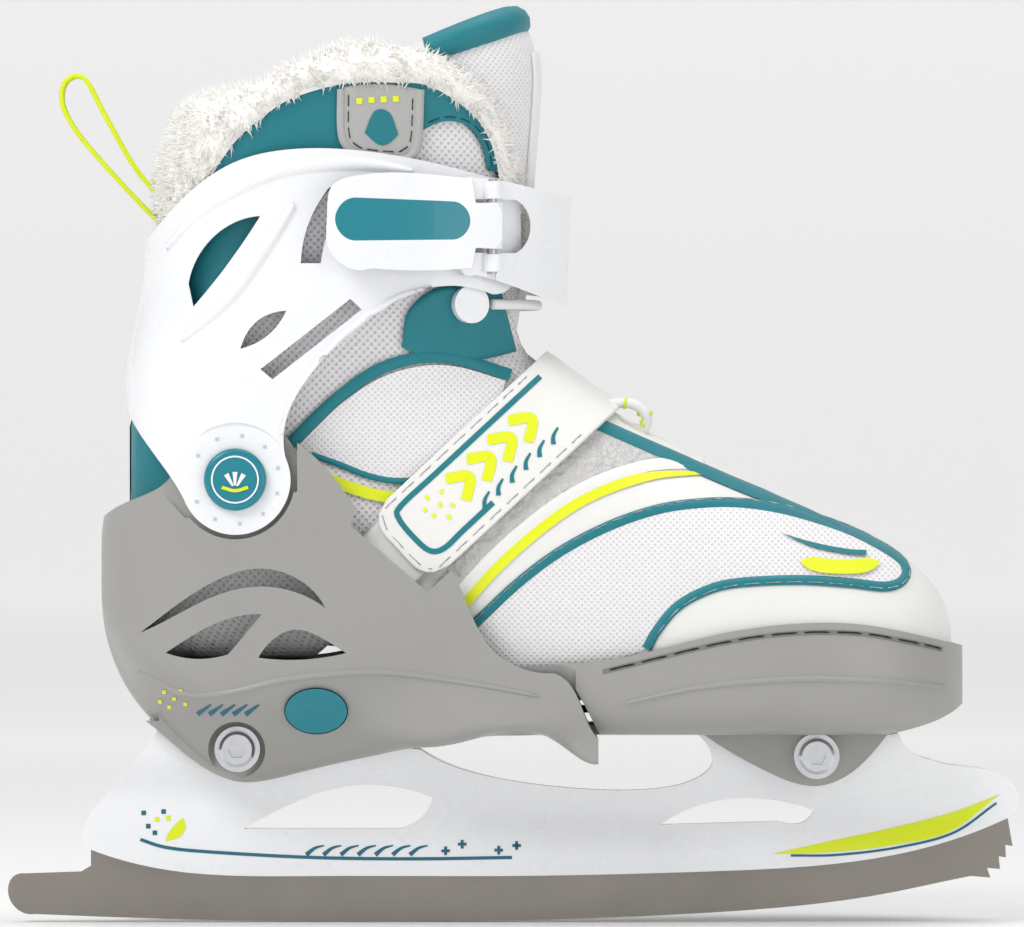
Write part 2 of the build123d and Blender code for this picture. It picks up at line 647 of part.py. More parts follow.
def make_pivot():
    """A headed rivet through each ear and lobe, under a domed cap."""
    inner = pivot_floor * ky - pivot_ear_thickness
    under = pivot_floor * ky + swing_gap + cuff_wall + pivot_cap_gap
    rivet = rod(pivot_x, pivot_z, pivot_head_radius, inner - pivot_head_height, inner)
    rivet += rod(pivot_x, pivot_z, pivot_radius, inner, under + 1)
    cap = rod(pivot_x, pivot_z, pivot_cap_radius, under, under + pivot_cap_height)
    cap = fillet(cap.edges().filter_by(GeomType.CIRCLE).sort_by(Axis.Y)[-1], 1.4)
    cap -= rod(pivot_x, pivot_z, pivot_radius, 0, under + 1)
    return mirror(rivet, about=Plane.XZ), rivet, mirror(cap, about=Plane.XZ), cap


# ---------------------------------------------------------------- lever buckle on the cuff
def upright_pin(x, depth, side, radius, low, high):
    """A true vertical bar at a distance outside the cuff."""
    place, out = leg_point(x, 209, depth, side, CUFF)
    return Pos(place.X, place.Y, at(0, low).Z) * Cylinder(
        radius, at(0, high).Z - at(0, low).Z, align=(Align.CENTER, Align.CENTER, Align.MIN))


def cuff_skin(low, high):
    return leg_form(high, CUFF) - leg_form(low, CUFF)


def make_ladder():
    """A toothed plate riveted on the cuff's outer arm for the buckle's pawl."""
    outline = polygon((-46, 204), (-44, 202), (-18, 202), (-15, 205), (-15, 213), (-18, 216), (-44, 216), (-46, 214))
    plate = cuff_skin(0, ladder_thickness) & slab(outline, -200, 0)
    for step in range(6):
        x = -38 + 3.6 * step
        tooth = polygon((x, 204), (x + 1.6, 204), (x + 1.6, 214), (x, 214))
        plate -= (cuff_skin(ladder_thickness - 0.8, 6) & slab(tooth, -200, 0))
    return plate


STRAP_MIDDLE = 209.5  # drawn height of the pins' middle


def make_cuff_strap():
    """A moulded strap from the inner side round the front, ending in a fork that holds the lever."""
    fork = side_face(
        [(-11, 223.6), (2, 221.8), (14, 219), (30, 217.5)],
        [(30, 217.5), (30, 185)],
        [(30, 185), (14, 186.6), (4, 190), (-11, 194.6)],
        [(-11, 194.6), (-15.2, 196), (-15.2, 199.6), (-11, 201.2)],
        [(-11, 201.2), (1, 201.2)],
        [(1, 201.2), (4.6, 205), (4.6, 213.6), (1, 217.2)],
        [(1, 217.2), (-11, 217.2)],
        [(-11, 217.2), (-15.2, 218.6), (-15.2, 222.4), (-11, 223.6)],
    )
    root = anchor_pin_x + 9
    inner = polygon((anchor_pin_x, 216), (root, 216), (0, 219), (40, 219), (40, 185), (0, 190), (root, 203),
                    (anchor_pin_x, 203))
    skin = cuff_skin(*strap_skin)
    strap = (skin & slab(fork, -200, 0)) + (skin & slab(inner, 0, 200))
    for low, high in ((195.6, 200.8), (217.4, 222.6)):
        strap += upright_pin(lever_pin_x, lever_pin_depth, -1, hinge_knuckle_radius, low, high)
    bore = hinge_pin_radius + hinge_gap
    strap += upright_pin(anchor_pin_x, anchor_pin_depth, 1, hinge_knuckle_radius, 203, 216)
    strap -= upright_pin(anchor_pin_x, anchor_pin_depth, 1, bore, 190, 230)
    room = upright_pin(anchor_pin_x, anchor_pin_depth, 1, hinge_knuckle_radius + 0.5, 216.3, 222)
    room += upright_pin(anchor_pin_x, anchor_pin_depth, 1, hinge_knuckle_radius + 0.5, 197, 202.7)
    strap -= room
    strap -= upright_pin(lever_pin_x, lever_pin_depth, -1, hinge_pin_radius, 190, 230)
    return strap


def make_strap_anchor():
    """A bracket on the cuff's inner arm with two knuckles and a pin that the strap swings on."""
    outline = polygon((-42, 203), (-39, 200), (-21.5, 200), (-21.5, 219), (-39, 219), (-42, 216))
    plate = cuff_skin(0, bracket_thickness) & slab(outline, 0, 200)
    for low, high in ((200, 202.7), (216.3, 219)):
        knuckle = upright_pin(anchor_pin_x, anchor_pin_depth, 1, hinge_knuckle_radius, low, high)
        foot = upright_pin(anchor_pin_x, 1.2, 1, 2.4, low, high)
        plate += knuckle + foot
    plate -= leg_form(0, CUFF)
    plate -= upright_pin(anchor_pin_x, anchor_pin_depth, 1, hinge_knuckle_radius + 0.4, 202.7, 216.3)
    pin = upright_pin(anchor_pin_x, anchor_pin_depth, 1, hinge_pin_radius, 199.4, 219.6)
    return plate - pin, pin


def lever_outline():
    nose = [(-12, 196.6), (-10.8, 202.6), (-4.6, 202.6), (-2.9, 205), (-2.9, 213.6), (-4.6, 216), (-10.8, 216)]
    nose += [(-12, 223.4)]
    return side_face(
        [(-12, 223.4), (-20, 224), (-46, 224), (-53.4, 221), (-55, 212), (-54.4, 202), (-50, 197.2), (-42, 196.4)],
        [(-42, 196.4), (-20, 196), (-12, 196.6)],
        *zip(nose, nose[1:]),
    )


def make_lever():
    """The buckle's lever: a curved plate on the fork's pin, with an inlay and a pawl underneath."""
    plate = cuff_skin(*lever_skin) & slab(lever_outline(), -200, 0)
    recess = side_face(
        [(-46, 217.4), (-18, 216.4)],
        [(-18, 216.4), (-13.8, 214.4), (-12.4, 210.7), (-13.8, 207), (-18, 205)],
        [(-18, 205), (-46, 204.6)],
        [(-46, 204.6), (-50.8, 206.6), (-52.6, 211), (-50.8, 215.4), (-46, 217.4)],
    )
    low, high = lever_skin
    inlay = cuff_skin(high - inlay_thickness, high) & slab(recess, -200, 0)
    knuckle = upright_pin(lever_pin_x, lever_pin_depth, -1, hinge_knuckle_radius, 202.4, 216.2)
    bridge = cuff_skin(lever_pin_depth, high) & slab(
        polygon((-11, 202.6), (-5, 202.6), (-5, 216), (-11, 216)), -200, 0)
    pawl = cuff_skin(ladder_thickness + 0.7, high) & slab(
        polygon((-17.4, 205), (-15.4, 205), (-15.4, 213), (-17.4, 213)), -200, 0)
    lever = plate + knuckle + bridge + pawl - inlay
    pin = upright_pin(lever_pin_x, lever_pin_depth, -1, hinge_pin_radius, 195, 223.2)
    bore = upright_pin(lever_pin_x, lever_pin_depth, -1, hinge_pin_radius + hinge_gap, 190, 230)
    return lever - bore, inlay, pin


# ---------------------------------------------------------------- soft boot
def make_boot():
    """The padded boot in three parts: foot, toe, and the ankle part that leans with the cuff."""
    outside = foot_form(0) + leg_form(0)
    hollow = foot_form(-liner_wall) + leg_form(-liner_wall)
    return outside, hollow


COLLAR_TOP = [(-112, 206), (-100, 216), (-90, 230), (-78, 241), (-58, 249.5), (-36, 255), (-20, 254)]
FUR_TOP = [(-125, 232), (-103, 243), (-93, 248.6), (-75.6, 252.4), (-63.6, 258), (-47, 263.4), (-22, 261)]
THROAT = [(-22, 290), (-22, 256), (-12, 240), (-3.6, 223), (-2.6, 190), (-2.6, 150)]


def make_ankle():
    """The collar, the tongue in its throat, and the fur that lines and tops the collar."""
    above = wedge(wedge_front[1], wedge_back[1], True)
    behind = side_face(*zip(THROAT, THROAT[1:]), [(-2.6, 150), (-2.6, 100)], [(-2.6, 100), (-200, 100)],
                       [(-200, 100), (-200, 290)], [(-200, 290), (-22, 290)])
    shift = touch_gap + 0.1
    lead = [(x + shift, z) for x, z in THROAT]
    ahead = side_face(*zip(lead, lead[1:]), [lead[-1], (100, 150)], [(100, 150), (100, 290)], [(100, 290), lead[0]])
    under_collar = side_face(COLLAR_TOP, [(-20, 254), (60, 254)], [(60, 254), (60, 90)], [(60, 90), (-140, 90)],
                             [(-140, 90), (-140, 206)], [(-140, 206), (-112, 206)])
    under_fur = side_face(FUR_TOP, [(-22, 261), (60, 261)], [(60, 261), (60, 90)], [(60, 90), (-140, 90)],
                          [(-140, 90), (-140, 232)], [(-140, 232), (-125, 232)])
    skin = leg_form(0) - leg_form(-liner_wall)
    collar = skin & above & through(behind) & through(under_collar)
    lining = leg_form(-liner_wall - touch_gap) - leg_form(-liner_wall - 4)
    floor = block((-300, 300), (-200, 200), (at(0, 206).Z, 400))
    fur = ((leg_form(0.2) - leg_form(-liner_wall - 4)) & through(under_fur)) - through(under_collar)
    fur = (fur + (lining & floor & through(under_fur))) & through(behind) - block((-300, 300), (-200, 200), (0, 200))
    top = side_face([(-30, 262.6), (-16, 271), (-2, 276), (7, 272.4), (14, 268)], [(14, 268), (60, 200)],
                    [(60, 200), (60, 90)], [(60, 90), (-60, 90)], [(-60, 90), (-30, 262.6)])
    tongue = skin & above & through(ahead) & through(top)
    return collar, fur, tongue


def make_foot_parts():
    outside, hollow = make_boot()
    liner = (outside - hollow) & wedge(wedge_front[0], wedge_back[0], False)
    foot = liner & through(size_split(False))
    toe = (foot_form(0) - foot_form(-liner_wall)) & through(size_split(True))
    return foot, toe


def make_insole():
    """A soft insole under the heel and arch; it ends where the toe liner slides."""
    rise = liner_wall + touch_gap
    sole = [(x, low + rise + insole_thickness) for x, _, low, _, _ in FOOT if -108 < x < 118]
    ends = [(sole[-1][0], 40), (sole[0][0], 40)]
    under = side_face(sole, [sole[-1], ends[0]], ends, [ends[1], sole[0]])
    return foot_form(-rise) & through(under) & block((-300, at(insole_end, 0).X), (-200, 200), (0, 300))


# ---------------------------------------------------------------- instep strap
BAND_START = (-36.5, 109.9)  # drawn middle of the shell's strap notch
BAND_ANGLE = 43.0


def band(start, end, half, reach=None):
    """A drawn strip along the strap, from start to end along it, with a rounded lower end."""
    ax, az = math.cos(math.radians(BAND_ANGLE)), math.sin(math.radians(BAND_ANGLE))
    x0, z0 = BAND_START

    def place(along, across):
        return (x0 + ax * along - az * across, z0 + az * along + ax * across)

    corner = half * 0.5
    low = [place(start + corner, half), place(start, half - corner), place(start, corner - half)]
    low += [place(start + corner, -half)]
    return polygon(*low, place(end, -half), place(end, half))


def make_instep_strap():
    """The sewn flap over the instep, its hook tab on the outer side, and its anchor tab."""
    half = flap_width / 2
    flap = foot_form(flap_skin[1]) - foot_form(flap_skin[0])
    lateral = slab(band(3.5, 200, half), -200, 0)
    medial = slab(band(anchor_along, 200, half), 0, 200)
    strap = (flap & lateral) + (flap & medial)
    tabs = foot_form(tab_skin[1]) - foot_form(tab_skin[0])
    hook = tabs & slab(band(-12, 26, half - 3), -200, 0)
    anchor = (foot_form(flap_skin[1]) - foot_form(0.4)) & slab(band(-2, anchor_along - flap_fold, half - 3), 0, 200)
    anchor += tabs & slab(band(-16, 2, half - 3), 0, 200)
    return strap, hook, anchor


# ---------------------------------------------------------------- trims
def make_pull_loop():
    """A webbing loop at the back of the collar."""
    outer = [(-106.6, 211), (-119, 224), (-131, 238), (-135.6, 247), (-134.4, 253.6), (-129, 254.4),
             (-122.6, 243), (-114, 228), (-105.4, 217.4)]
    spine = Spline(*[at(*p) for p in outer])
    path = Wire([spine])
    width = loop_width
    face = Face(Wire([Line(*pair) for pair in frame_corners(path, loop_thickness, width)]))
    return sweep(face, path)


def frame_corners(path, thickness, width):
    start = path @ 0
    along = (path % 0).normalized()
    across = Vector(0, 1, 0)
    rise = along.cross(across).normalized()
    corners = [start + rise * (a * thickness / 2) + across * (b * width / 2)
               for a, b in ((-1, -1), (1, -1), (1, 1), (-1, 1))]
    return list(zip(corners, corners[1:] + corners[:1]))


def make_lace_hooks():
    """A riveted hook at each side of the throat."""
    hooks = Part()
    for side in (-1, 1):
        place, out = leg_point(-13, 186, 0.5, side)
        base = Plane(origin=place, x_dir=(0, 0, 1), z_dir=out)
        head = Cylinder(hook_head_radius, 2.4, align=(Align.CENTER, Align.CENTER, Align.MIN))
        hooks += base * head
    return hooks


def make_badge():
    """A moulded rubber badge sewn on the outer side of the collar."""
    outline = polygon((-51, 232), (-32, 230), (-28, 234), (-29.4, 248.6), (-32, 250), (-46, 249), (-50, 246))
    return (leg_form(0.3 + badge_thickness) - leg_form(0.3)) & slab(outline, -200, 0)


def make_throat_lace():
    """A lace across the tongue between the two hooks."""
    depth = lace_radius + 0.6
    side = [leg_point(x, 186, depth, -1)[0] for x in (-6, 0, 4.4)]
    front = Vector(side[-1].X + 3.2, 0, side[-1].Z)
    other = [Vector(p.X, -p.Y, p.Z) for p in reversed(side)]
    path = Wire([Spline(*side, front, *other)])
    return sweep(Plane(origin=path @ 0, z_dir=path % 0) * Circle(lace_radius), path)


def make_rivets():
    """Domed rivets on the strap's anchor tab, and on the buckle's plates on the cuff."""
    foot_skin = foot_form(flap_skin[1] + rivet_head_height) - foot_form(flap_skin[1])
    strap_rivets = Part()
    for along, across in ((19, -6), (19, 6)):
        angle = math.radians(BAND_ANGLE)
        x = BAND_START[0] + along * math.cos(angle) - across * math.sin(angle)
        z = BAND_START[1] + along * math.sin(angle) + across * math.cos(angle)
        place = at(x, z)
        strap_rivets += rod(place.X, place.Z, rivet_head_radius * 0.7, 0, 80) & foot_skin
    cuff_rivets = Part()
    for x, z, side, depth in ((-36, 209.5, 1, bracket_thickness), (-42, 209.5, -1, ladder_thickness)):
        place = at(x, z)
        low, high = (0, 80) if side > 0 else (-80, 0)
        cuff_rivets += rod(place.X, place.Z, rivet_head_radius * 0.7, low, high) & cuff_skin(depth, depth + 1.2)
    return strap_rivets, cuff_rivets


# ---------------------------------------------------------------- the nodes
parts["blade_runner"] = make_blade()
parts["blade_holder"] = make_holder(parts["blade_runner"])
parts["axle_bolts"], parts["axle_washers"], parts["axle_nuts"] = make_axle_hardware()
parts["heel_shell"] = make_heel_shell()
parts["foot_board"] = make_foot_board()
parts["toe_shell"] = make_toe_shell()
parts["size_rack"], parts["rack_screws"] = make_size_rack()
parts["push_button"] = make_push_button()
parts["button_spring"] = make_button_spring()
parts["cuff"] = make_cuff()
rivets_and_caps = make_pivot()
for name, part in zip(("rivet_right", "rivet_left", "cap_right", "cap_left"), rivets_and_caps):
    parts["pivot_" + name] = part
parts["buckle_ladder"] = make_ladder()
parts["cuff_strap"] = make_cuff_strap()
parts["strap_bracket"], parts["strap_pin"] = make_strap_anchor()
parts["buckle_lever"], parts["lever_inlay"], parts["lever_pin"] = make_lever()
parts["liner_foot"], parts["liner_toe"] = make_foot_parts()
parts["liner_collar"], parts["fur_collar"], parts["tongue"] = make_ankle()
parts["insole"] = make_insole()
parts["instep_strap"], parts["strap_hook_tab"], parts["strap_anchor_tab"] = make_instep_strap()
parts["strap_rivets"], parts["cuff_rivets"] = make_rivets()
parts["lace_hooks"] = make_lace_hooks()
parts["throat_lace"] = make_throat_lace()
parts["pull_loop"] = make_pull_loop()
parts["side_badge"] = make_badge()

os.makedirs("parts", exist_ok=True)
for name, part in parts.items():
    export_step(part, f"parts/{name}.step")
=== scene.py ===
import math
import random

import bmesh
import bpy
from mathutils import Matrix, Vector, noise
from mathutils.bvhtree import BVHTree


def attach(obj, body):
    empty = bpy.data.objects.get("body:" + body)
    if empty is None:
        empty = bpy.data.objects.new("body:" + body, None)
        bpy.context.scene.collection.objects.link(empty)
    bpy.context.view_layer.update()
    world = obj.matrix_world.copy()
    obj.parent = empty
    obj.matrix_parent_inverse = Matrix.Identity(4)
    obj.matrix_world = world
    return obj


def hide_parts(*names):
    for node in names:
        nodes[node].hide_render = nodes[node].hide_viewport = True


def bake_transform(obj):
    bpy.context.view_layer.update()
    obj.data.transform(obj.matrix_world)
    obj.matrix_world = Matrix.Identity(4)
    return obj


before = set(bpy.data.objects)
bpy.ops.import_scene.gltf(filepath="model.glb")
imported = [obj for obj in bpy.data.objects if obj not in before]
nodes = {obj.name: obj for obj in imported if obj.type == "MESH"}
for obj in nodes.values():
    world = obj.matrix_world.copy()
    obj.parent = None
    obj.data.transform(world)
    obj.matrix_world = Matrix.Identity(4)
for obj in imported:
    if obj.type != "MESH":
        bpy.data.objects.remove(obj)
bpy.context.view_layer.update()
MM = 0.001

# ---------------------------------------------------------------- figure blade
# A hardened steel runner, ground flat on both sides, with drag teeth at the toe.
# The grinding wheel leaves fine lines along it.


def group_of(name, inputs, outputs):
    """An empty shader group with named sockets; returns it with its input and output nodes."""
    tree = bpy.data.node_groups.new(name, "ShaderNodeTree")
    for label, kind, value in inputs:
        socket = tree.interface.new_socket(name=label, in_out="INPUT", socket_type=kind)
        socket.default_value = value
    for label, kind in outputs:
        tree.interface.new_socket(name=label, in_out="OUTPUT", socket_type=kind)
    return tree, tree.nodes.new("NodeGroupInput"), tree.nodes.new("NodeGroupOutput")


def add(tree, kind, links=None, **values):
    """A node with its properties set, and links given as socket name to (node, socket)."""
    made = tree.nodes.new(kind)
    for key, value in values.items():
        setattr(made, key, value)
    for socket, source in (links or {}).items():
        if isinstance(source, tuple):
            tree.links.new(source[0].outputs[source[1]], made.inputs[socket])
        else:
            made.inputs[socket].default_value = source
    return made


def smudge_group():
    """Slow colour and gloss variation, as handling and dust leave on any surface."""
    f, n = "NodeSocketFloat", "NodeSocketColor"
    tree, enter, leave = group_of(
        "handling_marks",
        [("Colour", n, (1, 1, 1, 1)), ("Roughness", f, 0.4), ("Amount", f, 0.1), ("Size", f, 60.0)],
        [("Colour", n), ("Roughness", f)],
    )
    place = add(tree, "ShaderNodeTexCoord")
    slow = add(tree, "ShaderNodeTexNoise", {"Vector": (place, "Object"), "Scale": (enter, "Size"), "Detail": 6.0,
                                            "Roughness": 0.6})
    even = add(tree, "ShaderNodeMapRange", {"Value": (slow, "Fac"), "From Min": 0.3, "From Max": 0.7,
                                            "To Min": -1.0, "To Max": 1.0})
    shift = add(tree, "ShaderNodeMath", {0: (even, "Result"), 1: (enter, "Amount")}, operation="MULTIPLY")
    rough = add(tree, "ShaderNodeMath", {0: (enter, "Roughness"), 1: (shift, 0)}, operation="ADD", use_clamp=True)
    half = add(tree, "ShaderNodeMath", {0: (shift, 0), 1: 0.35}, operation="MULTIPLY")
    level = add(tree, "ShaderNodeMath", {0: 1.0, 1: (half, 0)}, operation="SUBTRACT")
    tint = add(tree, "ShaderNodeVectorMath", {0: (enter, "Colour"), 3: (level, 0)}, operation="SCALE")
    tree.links.new(tint.outputs[0], leave.inputs["Colour"])
    tree.links.new(rough.outputs[0], leave.inputs["Roughness"])
    return tree


def grain_group():
    """The fine texture of a moulding or casting, as a height."""
    f = "NodeSocketFloat"
    tree, enter, leave = group_of(
        "fine_grain", [("Scale", f, 1500.0), ("Stretch", f, 1.0)], [("Height", f)]
    )
    place = add(tree, "ShaderNodeTexCoord")
    long = add(tree, "ShaderNodeCombineXYZ", {"X": (enter, "Stretch"), "Y": 1.0, "Z": 1.0})
    scaled = add(tree, "ShaderNodeVectorMath", {0: (place, "Object"), 1: (long, 0)}, operation="MULTIPLY")
    fine = add(tree, "ShaderNodeTexNoise", {"Vector": (scaled, 0), "Scale": (enter, "Scale"), "Detail": 3.0})
    tree.links.new(fine.outputs["Fac"], leave.inputs["Height"])
    return tree


handling_marks = smudge_group()
fine_grain = grain_group()


def finish(name, colour, roughness, marks=0.08, marks_size=60.0, grain=1500.0, stretch=1.0, grain_depth=0.00002,
           height=None, **sockets):
    """A material: a Principled surface with handling marks and grain; height adds a weave or a relief."""
    material = bpy.data.materials.new(name)
    material.use_nodes = True
    tree = material.node_tree
    surface = tree.nodes["Principled BSDF"]
    for key, value in sockets.items():
        surface.inputs[key.replace("_", " ")].default_value = value
    marked = add(tree, "ShaderNodeGroup", node_tree=handling_marks)
    marked.inputs["Colour"].default_value = (*colour, 1)
    marked.inputs["Roughness"].default_value = roughness
    marked.inputs["Amount"].default_value = marks
    marked.inputs["Size"].default_value = marks_size
    tree.links.new(marked.outputs["Colour"], surface.inputs["Base Color"])
    tree.links.new(marked.outputs["Roughness"], surface.inputs["Roughness"])
    fine = add(tree, "ShaderNodeGroup", node_tree=fine_grain)
    fine.inputs["Scale"].default_value = grain
    fine.inputs["Stretch"].default_value = stretch
    bump = add(tree, "ShaderNodeBump", {"Height": (fine, "Height"), "Distance": grain_depth, "Strength": 1.0})
    tree.links.new(bump.outputs["Normal"], surface.inputs["Normal"])
    if height:
        height(tree, surface, marked, bump)
    return material


def paint(material, *names):
    """Gives a CAD node its finish."""
    for name in names:
        for place in nodes[name].material_slots:
            place.material = material


blade_steel = finish("blade_steel", (0.3, 0.28, 0.25), 0.36, marks=0.08, marks_size=25.0, grain=900.0, stretch=0.06,
                     grain_depth=0.00003, Metallic=1.0)
paint(blade_steel, "blade_runner")

# ---------------------------------------------------------------- blade holder
# A white injection moulding clipped over the blade's tang and bolted to both shells.
# Its sides carry a pad print: a dark line with slashes, small crosses and two lime crescents.
white_moulding = finish("white_moulding", (0.86, 0.87, 0.89), 0.27, marks=0.05, marks_size=35.0, grain=700.0,
                        grain_depth=0.000012, Coat_Weight=0.25, Coat_Roughness=0.12, Subsurface_Weight=0.0)
paint(white_moulding, "blade_holder")


def soften(width, *names):
    """Rounds a moulding's edges a little, as its tool does."""
    for name in names:
        edge = nodes[name].modifiers.new("soft_edges", "BEVEL")
        edge.width, edge.segments, edge.limit_method, edge.angle_limit = width, 2, "ANGLE", math.radians(40)
        edge.use_clamp_overlap, edge.harden_normals = True, True


soften(0.0008, "blade_holder")


def link(name, mesh_or_bm, material, body, replaced=(), blend=None, slot=None):
    """Puts a finished mesh in the scene as a piece on its body."""
    if isinstance(mesh_or_bm, bmesh.types.BMesh):
        mesh = bpy.data.meshes.new(name)
        mesh_or_bm.to_mesh(mesh)
        mesh_or_bm.free()
    else:
        mesh = mesh_or_bm
    mesh.materials.clear()
    for each in material if isinstance(material, (list, tuple)) else [material]:
        mesh.materials.append(each)
    mesh.polygons.foreach_set("use_smooth", [True] * len(mesh.polygons))
    piece = bpy.data.objects.new(name, mesh)
    bpy.context.scene.collection.objects.link(piece)
    if blend:
        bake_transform(piece)
    else:
        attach(piece, body)
    if replaced:
        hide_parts(*replaced)
    return piece


def smooth_path(points, count, closed=False):
    """Points spaced evenly along a smooth curve through the given points, as vectors."""
    points = [Vector(p) for p in points]
    last = len(points) if closed else len(points) - 1
    dense = []
    for i in range(last):
        a = points[i - 1] if closed or i else points[0] * 2 - points[1]
        b, c = points[i], points[(i + 1) % len(points)]
        if closed or i + 2 < len(points):
            d = points[(i + 2) % len(points)]
        else:
            d = c * 2 - b
        for k in range(24):
            t = k / 24
            bend, twist = 2 * a - 5 * b + 4 * c - d, 3 * b - a - 3 * c + d
            dense.append(0.5 * (2 * b + (c - a) * t + bend * t**2 + twist * t**3))
    dense.append(points[0].copy() if closed else points[-1].copy())
    lengths = [0.0]
    for a, b in zip(dense, dense[1:]):
        lengths.append(lengths[-1] + (b - a).length)
    out, k = [], 0
    for i in range(count):
        want = lengths[-1] * i / (count - 1)
        while k < len(dense) - 2 and lengths[k + 1] < want:
            k += 1
        span = max(lengths[k + 1] - lengths[k], 1e-9)
        out.append(dense[k].lerp(dense[k + 1], min(max((want - lengths[k]) / span, 0), 1)))
    return out


def path_length(points):
    return sum((b - a).length for a, b in zip(points, points[1:]))


def grid_of(columns, rows, place):
    """A sheet of quads whose corner (i, j) goes to place(i, j)."""
    sheet = bmesh.new()
    bmesh.ops.create_grid(sheet, x_segments=columns, y_segments=rows, size=1.0)
    for corner in sheet.verts:
        i = round((corner.co.x + 1) / 2 * columns)
        j = round((corner.co.y + 1) / 2 * rows)
        corner.co = place(i, j)
    return sheet


def outward(sheet, normal_at):
    """Turns a sheet so that its faces look the way normal_at says."""
    sheet.normal_update()
    agree = sum(f.normal.dot(normal_at(f.calc_center_median())) * f.calc_area() for f in sheet.faces)
    if agree < 0:
        bmesh.ops.reverse_faces(sheet, faces=sheet.faces)
    return sheet


def on_solid(*names):
    """A function from a side-view place to the outermost point of those CAD nodes, and its normal."""
    trees = []
    for name in names:
        copy = bmesh.new()
        copy.from_mesh(nodes[name].data)
        trees.append(BVHTree.FromBMesh(copy))
        copy.free()

    def place(x, z, side=-1):
        best = None
        for tree in trees:
            hit, normal, _, _ = tree.ray_cast(Vector((x, side * 0.2, z)), Vector((0, -side, 0)))
            if hit and (best is None or hit.y * side > best[0].y * side):
                best = (hit, normal if normal.y * side > 0 else -normal)
        if not best:
            near, normal, _, _ = trees[0].find_nearest(Vector((x, side * 0.045, z)))
            best = (near, normal if normal.y * side > 0 else -normal)
        return best

    return place


def side_strip(name, surface, points, width, material, body, side=-1, lift=0.00012, crown=0.0, closed=False,
               count=60, taper=None, **kw):
    """A band that follows drawn points over a surface; crown rounds it up, taper narrows it."""
    path = smooth_path([(x * MM, 0, z * MM) for x, z in points], count, closed)
    across = 4 if crown else 1

    def place(i, j):
        here = path[i]
        ahead, behind = path[min(i + 1, count - 1)], path[max(i - 1, 0)]
        along = (ahead - behind).normalized()
        normal2d = Vector((-along.z, 0, along.x))
        wide = width * (taper(i / (count - 1)) if taper else 1.0)
        share = j / across * 2 - 1
        flat = here + normal2d * (share * wide / 2 * MM)
        spot, normal = surface(flat.x, flat.z, side)
        return spot + normal * (lift + crown * (1 - share**2))

    sheet = grid_of(count - 1, across, place)
    outward(sheet, lambda p: Vector((0, side, 0.2)))
    return link(name, sheet, material, body, **kw)


def thicken(piece, thick, offset=-1):
    """Gives a sheet its thickness, in metres, behind its face unless offset says otherwise."""
    wall = piece.modifiers.new("thickness", "SOLIDIFY")
    wall.thickness, wall.offset = thick, offset


def roll_edge(piece, width, segments=2):
    """Rounds a thick sheet's edges over."""
    edge = piece.modifiers.new("rolled_edge", "BEVEL")
    edge.width, edge.segments, edge.limit_method = width, segments, "ANGLE"
    return edge


def side_patch(name, surface, top, bottom, material, body, side=-1, lift=0.00012, columns=40, rows=10, thick=0.0,
               bulge=0.0, **kw):
    """A sheet between two drawn lines over a surface."""
    upper = smooth_path([(x * MM, 0, z * MM) for x, z in top], columns + 1)
    lower = smooth_path([(x * MM, 0, z * MM) for x, z in bottom], columns + 1)

    def place(i, j):
        flat = lower[i].lerp(upper[i], j / rows)
        spot, normal = surface(flat.x, flat.z, side)
        swell = bulge * math.sin(math.pi * j / rows) * math.sin(math.pi * i / columns)
        return spot + normal * (lift + swell)

    sheet = grid_of(columns, rows, place)
    cut = sheet.loops.layers.uv.new("cut")
    for face in sheet.faces:
        for loop in face.loops:
            loop[cut].uv = (loop.vert.co.x, loop.vert.co.z)
    outward(sheet, lambda p: Vector((0, side, 0.2)))
    piece = link(name, sheet, material, body, **kw)
    if thick:
        thicken(piece, thick)
    return piece


